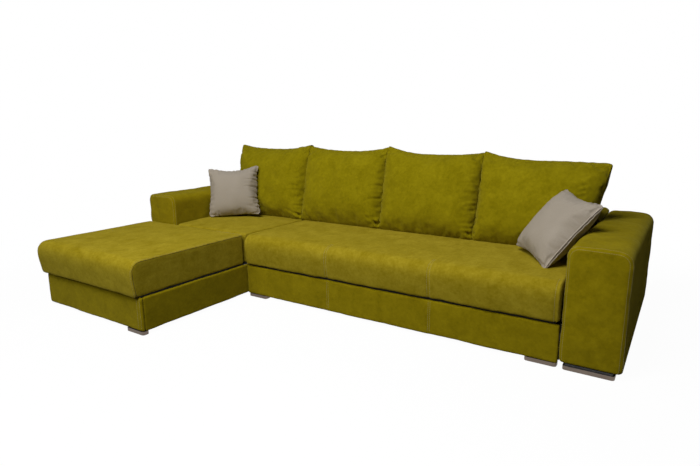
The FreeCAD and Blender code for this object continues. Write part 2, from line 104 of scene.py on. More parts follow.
class NodeSheet:
    """A node tree, built by calls that hand sockets on."""

    def __init__(self, owner: Union[Material, bpy.types.World]) -> None:
        """Clear the tree of a material or a world.

        Args:
            owner: The material or the world.
        """
        owner.use_nodes = True
        self.tree = owner.node_tree
        self.tree.nodes.clear()

    def add(self, kind: str, out: Union[int, str, None], inputs: dict, **settings: str) -> Optional[Socket]:
        """Add one node.

        Args:
            kind: The node's type, without its first word.
            out: The output to hand back, if any.
            inputs: A number, a colour or a socket for each input.
            **settings: The node's own settings.

        Returns:
            The output.
        """
        node = self.tree.nodes.new("ShaderNode" + kind)
        for name, value in settings.items():
            setattr(node, name, value)
        for place, value in inputs.items():
            if isinstance(value, bpy.types.NodeSocket):
                self.tree.links.new(value, node.inputs[place])
            else:
                node.inputs[place].default_value = value
        return None if out is None else node.outputs[out]

    def place(self) -> Socket:
        """Return Object coordinates."""
        return self.add("TexCoord", "Object", {})

    def mapping(self, scale: Point, turn: Point = (0, 0, 0)) -> Socket:
        """Return Object coordinates, turned and stretched."""
        return self.add("Mapping", "Vector", {"Vector": self.place(), "Scale": scale, "Rotation": turn})

    def noise(self, scale: float, detail: float, rough: float, twist: float = 0.0,
              along: Optional[Socket] = None) -> Socket:
        """Return a noise on Object coordinates or on a mapping.

        Args:
            scale: Bumps to a metre, roughly.
            detail: Its layers of finer bumps.
            rough: How strong those layers are.
            twist: How far it is distorted.
            along: A mapping, if it has one.

        Returns:
            The noise's value.
        """
        if along is None:
            along = self.place()
        return self.add("TexNoise", "Fac", {"Vector": along, "Scale": scale, "Detail": detail,
                                            "Roughness": rough, "Distortion": twist})

    def span(self, value: Socket, low: float, high: float, start: float = 0.0, end: float = 1.0,
             kind: str = "LINEAR") -> Socket:
        """Return a value that goes from start to end between low and high."""
        return self.add("MapRange", 0, {"Value": value, "From Min": low, "From Max": high, "To Min": start,
                                        "To Max": end}, interpolation_type=kind)

    def math(self, work: str, *values: Union[Socket, float]) -> Socket:
        """Return what one operation makes of sockets and numbers."""
        return self.add("Math", 0, dict(enumerate(values)), operation=work)

    def sum(self, first: Socket, share: float, second: Socket) -> Socket:
        """Return first plus share times second."""
        return self.math("MULTIPLY_ADD", second, share, first)

    def mix(self, share: Socket, first: Colour, second: Colour) -> Socket:
        """Return a blend of two colours."""
        return self.add("Mix", 2, {0: share, 6: (*first, 1.0), 7: (*second, 1.0)}, data_type="RGBA")

    def bump(self, value: Socket, height: float, strength: float, under: Optional[Socket] = None) -> Socket:
        """Return a bump of a real height in metres, on another one if it is given.

        Args:
            value: The value that is the relief.
            height: The relief's height.
            strength: The share of it that shows.
            under: A normal beneath it.

        Returns:
            The normal.
        """
        inputs = {"Height": value, "Strength": strength, "Distance": height}
        if under is not None:
            inputs["Normal"] = under
        return self.add("Bump", "Normal", inputs)

    def surface(self, colour: Socket, relief: Socket, **values: Union[Socket, float, tuple]) -> None:
        """Join everything up to the material's output.

        Args:
            colour: The base colour.
            relief: The normal.
            **values: The shader's other inputs, with underscores for spaces.
        """
        inputs = {name.replace("_", " "): value for name, value in values.items()}
        shader = self.add("BsdfPrincipled", 0, {"Base Color": colour, "Normal": relief, **inputs})
        self.add("OutputMaterial", None, {"Surface": shader})


@dataclass(frozen=True)
class Finish:
    """What every finish has."""

    name: str
    base: Colour

    def make(self) -> Material:
        """Return the material.

        Returns:
            The finish, ready for a mesh.
        """
        material = bpy.data.materials.new(self.name)
        self.paint(NodeSheet(material))
        return material

    def paint(self, sheet: NodeSheet) -> None:
        """Fill the node tree, which each kind of finish does in its own way."""
        raise NotImplementedError


@dataclass(frozen=True)
class Suede(Finish):
    """Brushed microfibre: soft nap marks, fine grain and a light bloom at grazing angles."""

    stroked: Colour
    mottle: float = 9.0
    shine: float = 0.02
    depth: float = 0.16
    bloom: Colour = (0.80, 0.70, 0.12)

    def paint(self, sheet: NodeSheet) -> None:
        """Fill the node tree.

        Args:
            sheet: The node tree to fill.
        """
        broad = sheet.noise(self.mottle, 5.0, 0.62, 0.6)
        fine = sheet.noise(self.mottle * 7.5, 4.0, 0.6, 0.3)
        strokes = sheet.noise(26.0, 3.0, 0.6, 1.0, sheet.mapping((1.0, 0.35, 1.0), (0.0, 0.0, 0.5)))
        grain = sheet.noise(900.0, 2.0, 0.6)
        marks = sheet.sum(sheet.sum(broad, 0.75, fine), 0.55, strokes)
        colour = sheet.mix(sheet.span(marks, 0.86, 1.44), self.base, self.stroked)
        light = sheet.span(grain, 0.3, 0.7, 1.0 - self.depth, 1.0 + self.depth)
        toned = sheet.add("VectorMath", 0, {0: colour, "Scale": light}, operation="SCALE")
        relief = sheet.bump(grain, 0.0005, 0.5, sheet.bump(fine, 0.0012, 0.35))
        sheet.surface(toned, relief, Roughness=0.95, Specular_IOR_Level=self.shine, Sheen_Weight=0.20,
                      Sheen_Roughness=0.55, Sheen_Tint=(*self.bloom, 1.0))


@dataclass(frozen=True)
class Weave(Finish):
    """Plain woven cloth with thread-sized bump and faint slubs."""

    slub: Colour
    threads: float = 700.0

    def paint(self, sheet: NodeSheet) -> None:
        """Fill the node tree.

        Args:
            sheet: The node tree to fill.
        """
        broad = sheet.noise(7.0, 3.0, 0.5)
        warp, weft = (sheet.noise(self.threads, 2.0, 0.5, 0.0, sheet.mapping(scale, (0.5, 0.3, 0.6)))
                      for scale in ((1.0, 0.08, 1.0), (0.08, 1.0, 1.0)))
        crossed = sheet.sum(warp, 1.0, weft)
        share = sheet.span(sheet.sum(crossed, 0.5, broad), 0.9, 1.6)
        sheet.surface(sheet.mix(share, self.base, self.slub), sheet.bump(crossed, 0.0006, 0.6),
                      Roughness=0.85, Specular_IOR_Level=0.2, Sheen_Weight=0.12, Sheen_Roughness=0.5)


@dataclass(frozen=True)
class Timber(Finish):
    """Sawn pale wood with long grain."""

    dark: Colour
    along: Axis = Axis.X

    def paint(self, sheet: NodeSheet) -> None:
        """Fill the node tree.

        Args:
            sheet: The node tree to fill.
        """
        scale = [1.0, 1.0, 1.0]
        scale[self.along.value] = 0.06
        grain = sheet.noise(60.0, 5.0, 0.6, 0.4, sheet.mapping(scale))
        fibre = sheet.noise(420.0, 2.0, 0.5, 0.0, sheet.mapping(scale))
        both = sheet.sum(grain, 0.3, fibre)
        sheet.surface(sheet.mix(sheet.span(both, 0.45, 0.9), self.base, self.dark),
                      sheet.bump(both, 0.0004, 0.5), Roughness=0.68, Specular_IOR_Level=0.3)


@dataclass(frozen=True)
class Metal(Finish):
    """Metal with fine brushing or a rolled surface."""

    worn: Colour
    rough: float
    brushed: bool = False
    metallic: float = 1.0

    def paint(self, sheet: NodeSheet) -> None:
        """Fill the node tree.

        Args:
            sheet: The node tree to fill.
        """
        scale = (0.05, 1.0, 1.0) if self.brushed else (1.0, 1.0, 1.0)
        marks = sheet.noise(260.0, 3.0, 0.6, 0.0, sheet.mapping(scale))
        both = sheet.sum(marks, 0.6, sheet.noise(18.0, 3.0, 0.5))
        rough = sheet.span(both, 0.5, 1.1, self.rough * 0.8, self.rough * 1.25)
        sheet.surface(sheet.mix(sheet.span(both, 0.5, 1.1), self.base, self.worn),
                      sheet.bump(marks, 0.0002, 0.35), Roughness=rough, Metallic=self.metallic)


@dataclass(frozen=True)
class Moulding(Finish):
    """Moulded plastic with a fine grained skin."""

    scuffed: Colour

    def paint(self, sheet: NodeSheet) -> None:
        """Fill the node tree.

        Args:
            sheet: The node tree to fill.
        """
        skin = sheet.noise(700.0, 2.0, 0.5)
        share = sheet.span(sheet.noise(40.0, 4.0, 0.6), 0.45, 0.75)
        sheet.surface(sheet.mix(share, self.base, self.scuffed), sheet.bump(skin, 0.0001, 0.4),
                      Roughness=0.45, Specular_IOR_Level=0.4)


@dataclass(frozen=True)
class Thread(Finish):
    """Twisted sewing thread."""

    def paint(self, sheet: NodeSheet) -> None:
        """Fill the node tree.

        Args:
            sheet: The node tree to fill.
        """
        twist = sheet.noise(1500.0, 1.0, 0.5)
        dark = tuple(0.8 * part for part in self.base)
        sheet.surface(sheet.mix(sheet.span(twist, 0.3, 0.7), dark, self.base),
                      sheet.bump(twist, 0.0002, 0.5), Roughness=0.6, Specular_IOR_Level=0.3)


class Wardrobe:
    """Every finish of the sofa, made once."""

    def __init__(self) -> None:
        """Make the materials."""
        self.seat = Suede("suede_seat", (0.236, 0.174, 0.002), (0.380, 0.290, 0.018), 10.0, 0.05).make()
        self.cover = Suede("suede_cover", (0.196, 0.148, 0.001), (0.298, 0.228, 0.004), 9.0).make()
        self.cushion = Suede("suede_cushion", (0.184, 0.149, 0.001), (0.280, 0.228, 0.004), 8.0).make()
        # Near-black cloth for the chaise pad's seam cords: painted shadow in the seams' creases.
        self.seam = Weave("seam_shadow_cloth", (0.030, 0.022, 0.001), (0.060, 0.045, 0.003), 500.0).make()
        self.pillow = Weave("pillow_weave", (0.325, 0.279, 0.222), (0.402, 0.350, 0.282)).make()
        self.thread = Thread("topstitch_thread", (0.42, 0.355, 0.13)).make()
        self.pillow_thread = Thread("pillow_cord", (0.58, 0.51, 0.43)).make()
        self.zip_teeth = Thread("zip_teeth", (0.05, 0.028, 0.018)).make()
        # Near-black cloth on the boards under the pads and on the slot strips: painted shade, so the gaps
        # round the pads and the roll-out seat read dark.
        self.shade_lining = Weave("painted_gap_shade_lining", (0.012, 0.011, 0.006), (0.022, 0.020, 0.010), 500.0).make()
        self.panel_wood = Timber("panel_wood", (0.52, 0.38, 0.22), (0.38, 0.25, 0.13)).make()
        self.slat_wood = Timber("slat_wood", (0.62, 0.48, 0.30), (0.50, 0.35, 0.19), Axis.Y).make()
        self.steel = Metal("painted_steel", (0.05, 0.05, 0.052), (0.09, 0.09, 0.092), 0.42, False, 0.3).make()
        self.foot = Metal("brushed_foot", (0.125, 0.098, 0.080), (0.20, 0.16, 0.13), 0.45, True).make()
        self.plastic = Moulding("castor_plastic", (0.03, 0.03, 0.032), (0.075, 0.073, 0.07)).make()


# Shaping tools


def waves(points: Array, length: float, seed: int) -> Array:
    """Return smooth repeatable unevenness, about -1 to 1.

    Args:
        points: N by 3 places in metres.
        length: Typical distance between bumps.
        seed: Which pattern.

    Returns:
        N values.
    """
    count = 28
    dice = np.random.default_rng(seed)
    heading = dice.normal(size=(count, 3))
    heading /= np.linalg.norm(heading, axis=1)[:, None]
    pitch = 2 * math.pi / (length * dice.uniform(0.7, 1.8, count))
    phase = dice.uniform(0, 2 * math.pi, count)
    total = np.zeros(len(points))
    for number in range(count):
        total += np.cos(points @ heading[number] * pitch[number] + phase[number])
    return total / math.sqrt(count * 0.5) / 1.6


def lumps(points: Array, kinds: Sequence[tuple[float, int, float]]) -> Array:
    """Return unevenness in metres, added up from kinds of a length, a pattern and a height."""
    return sum(waves(points, length, seed) * height for length, seed, height in kinds)


def ramp(value: Array, low: float, high: float) -> Array:
    """Return 0 below low, 1 above high and a smooth step between."""
    share = np.clip((value - low) / (high - low), 0.0, 1.0)
    return share * share * (3 - 2 * share)


def off_line(flat: Array, line: Array) -> tuple[Array, Array]:
    """Measure plane points against a polyline.

    Args:
        flat: N by 2 points.
        line: M by 2 corners of the polyline.

    Returns:
        The distance of each point, and the share of the line's length at its nearest point.
    """
    best = np.full(len(flat), np.inf)
    share = np.zeros(len(flat))
    steps = np.linalg.norm(np.diff(line, axis=0), axis=1)
    run = 0.0
    for start, stop, step in zip(line[:-1], line[1:], steps):
        heading = (stop - start) / max(step, 1e-9)
        along = np.clip((flat - start) @ heading, 0.0, step)
        gap = np.linalg.norm(flat - start - along[:, None] * heading, axis=1)
        closer = gap < best
        best = np.where(closer, gap, best)
        share = np.where(closer, (run + along) / steps.sum(), share)
        run += step
    return best, share


def rounded(across: Array, upward: Array, part: Array, rise: Array) -> tuple[Array, Array]:
    """Round the corners of a square that runs from -1 to 1 both ways.

    Args:
        across: Places across.
        upward: Places up.
        part: The corner's radius as a share of the half width.
        rise: The corner's radius as a share of the half height.

    Returns:
        The new places across and up.
    """
    p = np.clip((np.abs(across) - 1 + part) / part, 0.0, 1.0)
    q = np.clip((np.abs(upward) - 1 + rise) / rise, 0.0, 1.0)
    wide = 1 - part + part * p * np.sqrt(1 - q * q / 2)
    tall = 1 - rise + rise * q * np.sqrt(1 - p * p / 2)
    return (np.where(p > 0, np.sign(across) * wide, across),
            np.where(q > 0, np.sign(upward) * tall, upward))


def add_object(name: str, data: bpy.types.ID) -> Object:
    """Put new data in the scene.

    Args:
        name: The piece's name.
        data: Its mesh, curve, lamp or camera.

    Returns:
        The object.
    """
    obj = bpy.data.objects.new(name, data)
    bpy.context.scene.collection.objects.link(obj)
    return obj


@contextmanager
def sculpting(mesh: bpy.types.Mesh) -> Iterator[bmesh.types.BMesh]:
    """Open a mesh for operators and write it back.

    Args:
        mesh: The mesh.

    Yields:
        The open mesh.
    """
    shape = bmesh.new()
    shape.from_mesh(mesh)
    yield shape
    shape.to_mesh(mesh)
    shape.free()


def weld(shape: bmesh.types.BMesh) -> None:
    """Merge loose triangles to a closed surface."""
    bmesh.ops.remove_doubles(shape, verts=shape.verts, dist=1e-5)
    bmesh.ops.recalc_face_normals(shape, faces=shape.faces)


def search_tree(mesh: bpy.types.Mesh, loose: bool = False) -> BVHTree:
    """Return a search tree of a mesh, welded first where its triangles are loose.

    Args:
        mesh: The mesh.
        loose: Whether its triangles are loose.

    Returns:
        The tree.
    """
    shape = bmesh.new()
    shape.from_mesh(mesh)
    if loose:
        weld(shape)
    found = BVHTree.FromBMesh(shape)
    shape.free()
    return found


def node_tree(node: str) -> BVHTree:
    """Return a search tree of a CAD node's surface."""
    return search_tree(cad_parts[node].data, True)


def dress(obj: Object, material: Material, body: str) -> None:
    """Give a new piece its finish and its body.

    Args:
        obj: The piece.
        material: Its finish.
        body: The body that it rides on.
    """
    obj.data.materials.append(material)
    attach(obj, body)
    LOG.info("%s: %d faces on %s", obj.name, len(obj.data.polygons), body)


def level(edge: bmesh.types.BMEdge) -> bool:
    """Return whether an edge lies level."""
    return abs(edge.verts[0].co.z - edge.verts[1].co.z) < 1e-6


def block(name: str, low: Point, high: Point, radius: float, segments: int, upright: bool) -> Object:
    """Make a block with rounded edges.

    Args:
        name: The piece's name.
        low: Its lowest corner.
        high: Its highest corner.
        radius: The radius of its edges.
        segments: The steps round an edge.
        upright: Whether only the upright edges are rounded.

    Returns:
        The block, not yet dressed.
    """
    mesh = bpy.data.meshes.new(name)
    size = [high[axis] - low[axis] for axis in range(3)]
    middle = [(high[axis] + low[axis]) / 2 for axis in range(3)]
    with sculpting(mesh) as shape:
        bmesh.ops.create_cube(shape, size=1.0,
                              matrix=Matrix.Translation(middle) @ Matrix.Diagonal((*size, 1.0)))
        edges = [edge for edge in shape.edges if not (upright and level(edge))]
        bmesh.ops.bevel(shape, geom=edges, offset=radius, segments=segments, affect="EDGES", profile=0.5,
                        material=-1)
    return add_object(name, mesh)


class Route:
    """A line of straight stretches, read by the distance along it."""

    def __init__(self, line: Sequence[Point]) -> None:
        """Measure the line.

        Args:
            line: Corners of the line.
        """
        self.corners = np.array(line, dtype=float)
        steps = np.linalg.norm(np.diff(self.corners, axis=0), axis=1)
        self.run = np.concatenate(([0.0], np.cumsum(steps)))
        self.length = self.run[-1]

    def at(self, mark: float) -> Vector:
        """Return the place at a distance."""
        return Vector([np.interp(mark, self.run, self.corners[:, axis]) for axis in range(3)])


def cord(name: str, line: Sequence[Point], radius: float, material: Material, body: str) -> None:
    """Sew a round cord along a line.

    Args:
        name: The piece's name.
        line: Places along the cord.
        radius: The cord's radius.
        material: Its finish.
        body: The body that it rides on.
    """
    curve = bpy.data.curves.new(name, "CURVE")
    curve.dimensions = "3D"
    curve.bevel_depth = radius
    curve.bevel_resolution = 2
    curve.use_fill_caps = True
    run = curve.splines.new("POLY")
    run.points.add(len(line) - 1)
    for place, point in zip(run.points, line):
        place.co = (*point, 1.0)
    draft = add_object(name + "_draft", curve)
    graph = bpy.context.evaluated_depsgraph_get()
    mesh = bpy.data.meshes.new_from_object(draft.evaluated_get(graph))
    mesh.name = name
    bpy.data.objects.remove(draft)
    bpy.data.curves.remove(curve)
    mesh.shade_smooth()
    dress(add_object(name, mesh), material, body)


@dataclass(frozen=True)
class Crease:
    """One fold line on a plane of a soft piece, deepest at its start."""

    line: tuple[Range, ...]
    depth: float
    width: float

    def height(self, flat: Array) -> Array:
        """Return how far the fold moves each plane point outwards, in metres.

        Args:
            flat: N by 2 places on the plane.

        Returns:
            N heights.
        """
        gap, share = off_line(flat, np.array(self.line))
        body = gap / self.width
        profile = -np.exp(-body * body) + 0.45 * np.exp(-((body - 1.9) ** 2) * 1.4)
        return self.depth * profile * (1 - share) ** 0.8 * np.where(share >= 1.0, 0.0, 1.0)


@dataclass(frozen=True)
class Folds:
    """The ranges that a row of small folds is drawn from, in metres."""

    length: Range
    depth: Range
    width: Range
    pace: Range = (0.0, 0.0)
    lean: Range = (0.0, 0.0)


@dataclass(frozen=True)
class Filling:
    """How a piece is filled as cloth.

    The cap is the furthest that a point may move, in metres. A shrink below zero gives slack cloth, which
    gathers. Bending is how stiffly the cloth resists folding.
    """

    pressure: float
    cap: float
    shrink: float = 0.0
    bending: float = 0.6


class SoftForm:
    """A soft piece while it is being shaped."""

    FRAMES = 20
    REACH = 0.05
    CLEARANCE = 0.0008

    def __init__(self, name: str, node: str) -> None:
        """Start from a welded copy of a CAD node's mesh.

        Args:
            name: The new piece's name.
            node: The CAD node that the piece stands for.
        """
        self.node = node
        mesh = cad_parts[node].data.copy()
        mesh.name = name
        mesh.materials.clear()
        with sculpting(mesh) as shape:
            weld(shape)
        self.obj = add_object(name, mesh)

    def _bake(self) -> None:
        """Apply the piece's modifiers."""
        graph = bpy.context.evaluated_depsgraph_get()
        mesh = bpy.data.meshes.new_from_object(self.obj.evaluated_get(graph))
        old = self.obj.data
        self.obj.modifiers.clear()
        self.obj.data = mesh
        mesh.name = self.obj.name
        bpy.data.meshes.remove(old)

    def _read(self, source: bpy.types.bpy_prop_collection, name: str) -> Array:
        """Return three numbers of each vertex.

        Args:
            source: The vertices or their normals.
            name: What is read of each.

        Returns:
            N by 3 numbers.
        """
        flat = np.empty(len(self.obj.data.vertices) * 3)
        source.foreach_get(name, flat)
        return flat.reshape(-1, 3)

    def cover(self, size: float) -> None:
        """Turn the surface into an even net of squares of that size, which stays where the surface is.

        Args:
            size: The side of a square.
        """
        surface = self.tree()
        net = self.obj.modifiers.new("net", "REMESH")
        net.mode = "VOXEL"
        net.voxel_size = size
        self._bake()
        points = self.points()
        for number, point in enumerate(points):
            spot = surface.find_nearest(Vector(point), self.REACH)[0]
            if spot is not None:
                points[number] = spot
        self.move_to(points)

    def soften(self, rounds: int, strength: float) -> None:
        """Relax sharp corners.

        Args:
            rounds: How often.
            strength: How far each time, from 0 to 1.
        """
        with sculpting(self.obj.data) as shape:
            for _ in range(rounds):
                bmesh.ops.smooth_vert(shape, verts=shape.verts, factor=strength,
                                      use_axis_x=True, use_axis_y=True, use_axis_z=True)

    def divide(self) -> None:
        """Add one level of subdivision."""
        finer = self.obj.modifiers.new("finer", "SUBSURF")
        finer.levels = 1
        finer.render_levels = 1
        self._bake()

    def points(self) -> Array:
        """Return the places of the vertices."""
        return self._read(self.obj.data.vertices, "co")

    def outward(self) -> Array:
        """Return the normals of the vertices."""
        return self._read(self.obj.data.vertex_normals, "vector")

    def move_to(self, points: Array) -> None:
        """Set the places of the vertices."""
        self.obj.data.vertices.foreach_set("co", points.ravel())
        self.obj.data.update()

    def push(self, height: Array) -> None:
        """Move each vertex along its normal."""
        self.move_to(self.points() + self.outward() * height[:, None])

    def fill(self, filling: Filling, held: Optional[Array] = None) -> None:
        """Swell the piece as filled cloth.

        Args:
            filling: How it is filled.
            held: Pins each point by a weight from 0 to 1.
        """
        start = self.points()
        cloth = self.obj.modifiers.new("filling", "CLOTH")
        for name, value in {"quality": 5, "mass": 0.3, "tension_stiffness": 15, "compression_stiffness": 15,
                            "shear_stiffness": 8, "bending_stiffness": filling.bending, "use_pressure": True,
                            "uniform_pressure_force": filling.pressure,
                            "shrink_min": filling.shrink}.items():
            setattr(cloth.settings, name, value)
        cloth.settings.effector_weights.gravity = 0.0
        cloth.collision_settings.use_collision = False
        if held is not None:
            group = self.obj.vertex_groups.new(name="held")
            for number in np.nonzero(held > 0.01)[0]:
                group.add([int(number)], float(held[number]), "REPLACE")
            cloth.settings.vertex_group_mass = "held"
        scene = bpy.context.scene
        for clock in (cloth.point_cache, scene):
            clock.frame_start = 1
            clock.frame_end = self.FRAMES
        for number in range(1, self.FRAMES + 1):
            scene.frame_set(number)
        self._bake()
        scene.frame_set(1)
        if held is not None:
            self.obj.vertex_groups.clear()
        moved = self.points() - start
        reach = np.linalg.norm(moved, axis=1)
        kept = filling.cap * np.tanh(reach / filling.cap) / np.maximum(reach, 1e-9)
        self.move_to(start + moved * kept[:, None])

    def press_clear(self, others: Sequence[BVHTree]) -> None:
        """Press the piece flat where it would enter the closed surfaces that it rests against.

        Args:
            others: Those surfaces.
        """
        points = self.points()
        for other in others:
            for number, point in enumerate(points):
                spot, normal, _, _ = other.find_nearest(Vector(point), self.REACH)
                if spot is not None and (Vector(point) - spot).dot(normal) < self.CLEARANCE:
                    points[number] = spot + normal * self.CLEARANCE
        self.move_to(points)

    def keep_inside(self, low: Point, high: Point) -> None:
        """Hold the piece inside a box."""
        self.move_to(np.clip(self.points(), np.array(low), np.array(high)))

    def tree(self) -> BVHTree:
        """Return a search tree of the surface."""
        return search_tree(self.obj.data)

    def finish(self, material: Material, body: str, slot: Slot, fill: float) -> None:
        """Dress the piece and hand it to its body.

        Args:
            material: Its finish.
            body: The body that it rides on.
            slot: The record's slot; not used.
            fill: How tight the padding is; not used.
        """
        self.obj.data.materials.clear()
        self.obj.data.shade_smooth()
        dress(self.obj, material, body)
        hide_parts(self.node)


class CaseForm(SoftForm):
    """A cushion case: two nets of squares joined round the seam, set out from -1 to 1 both ways."""

    EDGE_PACE = 1.33

    def __init__(self, name: str, node: str, columns: int, rows: int) -> None:
        """Cut the two nets and join them.

        Args:
            name: The new piece's name.
            node: The CAD node that the piece stands for.
            columns: Squares across.
            rows: Squares up.
        """
        self.node = node
        mesh = bpy.data.meshes.new(name)
        with sculpting(mesh) as shape:
            bmesh.ops.create_grid(shape, x_segments=columns, y_segments=rows, size=1.0)
            twin = bmesh.ops.duplicate(shape, geom=shape.verts[:] + shape.edges[:] + shape.faces[:])
            corners = [part for part in twin["geom"] if isinstance(part, bmesh.types.BMVert)]
            bmesh.ops.translate(shape, verts=corners, vec=(0.0, 0.0, 1.0))
            bmesh.ops.bridge_loops(shape, edges=[edge for edge in shape.edges if edge.is_boundary])
            bmesh.ops.recalc_face_normals(shape, faces=shape.faces)
        self.obj = add_object(name, mesh)

    def layout(self) -> tuple[Array, Array, Array, Array]:
        """Return where each corner of the case is.

        Returns:
            Its place across and up from -1 to 1, closer near the seam, then -1 on the first net or 1 on
            the second, and 1 at the seam or 0 elsewhere.
        """
        flat = self.points()
        across, upward = (flat[:, axis] * (self.EDGE_PACE - (self.EDGE_PACE - 1) * flat[:, axis] ** 2)
                          for axis in (0, 1))
        seam = (np.abs(across) > 0.999) | (np.abs(upward) > 0.999)
        return across, upward, np.where(flat[:, 2] > 0.5, 1.0, -1.0), seam.astype(float)

    def set_out(self, places: Array) -> None:
        """Move the corners to their places and turn the faces outwards.

        Args:
            places: N by 3 places.
        """
        self.move_to(places)
        with sculpting(self.obj.data) as shape:
            bmesh.ops.recalc_face_normals(shape, faces=shape.faces)


class Needle:
    """Sews rows of thread stitches on finished surfaces, one object for each body."""

    PITCH = 0.0095
    THREAD = 0.0058
    RADIUS = 0.0011
    REACH = 0.03
    SHORTEST = 0.4
    LIFT = 0.35
    OVERHANG = 0.6
    FLATNESS = 0.8

    def __init__(self, name: str, body: str, material: Material) -> None:
        """Start a set of stitches.

        Args:
            name: The piece's name.
            body: The body that it rides on.
            material: The thread's finish.
        """
        self.name = name
        self.body = body
        self.material = material
        self.shape = bmesh.new()

    def sew(self, line: Sequence[Point], surface: BVHTree, pitch: float = PITCH) -> None:
        """Lay stitches along a line, pressed on the surface beneath it.

        Args:
            line: Corners of the row, close to the surface.
            surface: The surface that carries the thread.
            pitch: From one stitch to the next.
        """
        route = Route(line)
        number = max(2, int(route.length / pitch))
        for mark in (np.arange(number) + 0.5) * route.length / number:
            ends = [surface.find_nearest(route.at(mark + half), self.REACH)
                    for half in (-self.THREAD / 2, self.THREAD / 2)]
            if ends[0][0] is not None and ends[1][0] is not None:
                self._stitch(ends[0][0], ends[1][0], (ends[0][1] + ends[1][1]).normalized())

    def _stitch(self, start: Vector, end: Vector, normal: Vector) -> None:
        """Add one plump thread between two points of a surface.

        Args:
            start: The one point.
            end: The other point.
            normal: Away from the surface.
        """
        heading = end - start
        length = heading.length
        if length < self.THREAD * self.SHORTEST:
            return
        heading.normalize()
        side = normal.cross(heading).normalized()
        middle = (start + end) / 2 + normal * self.RADIUS * self.LIFT
        turn = Matrix((heading, side, heading.cross(side))).transposed().to_4x4()
        size = Matrix.Diagonal((length / 2 + self.RADIUS * self.OVERHANG, self.RADIUS,
                                self.RADIUS * self.FLATNESS, 1.0))
        bmesh.ops.create_uvsphere(self.shape, u_segments=6, v_segments=5, radius=1.0,
                                  matrix=Matrix.Translation(middle) @ turn @ size
                                  @ Matrix.Rotation(math.pi / 2, 4, "Y"))

    def finish(self) -> None:
        """Write the stitches as one piece."""
        mesh = bpy.data.meshes.new(self.name)
        self.shape.to_mesh(mesh)
        self.shape.free()
        mesh.shade_smooth()
        dress(add_object(self.name, mesh), self.material, self.body)


# The sofa's sub-assemblies


def from_plan(x: float, y: float, z: float) -> tuple[float, float, float]:
    """Turn plan millimetres into the row frame.

    Args:
        x: From the sofa's left side.
        y: Back from the chaise's front.
        z: Up from the floor.

    Returns:
        The place in metres.
    """
    return ((x - 1600.0) / 1000, (y - 1034.0) / 1000, z / 1000)


QUARTER_TURN = tuple(step * math.pi / 16 for step in range(9))
SEAT_SEAMS = tuple(from_plan(x, 0, 0)[0] for x in (1614.0, 2277.0))
STITCH_GAP = 0.011
DOUBLE_ROW = (-0.5 * STITCH_GAP, 0.5 * STITCH_GAP)


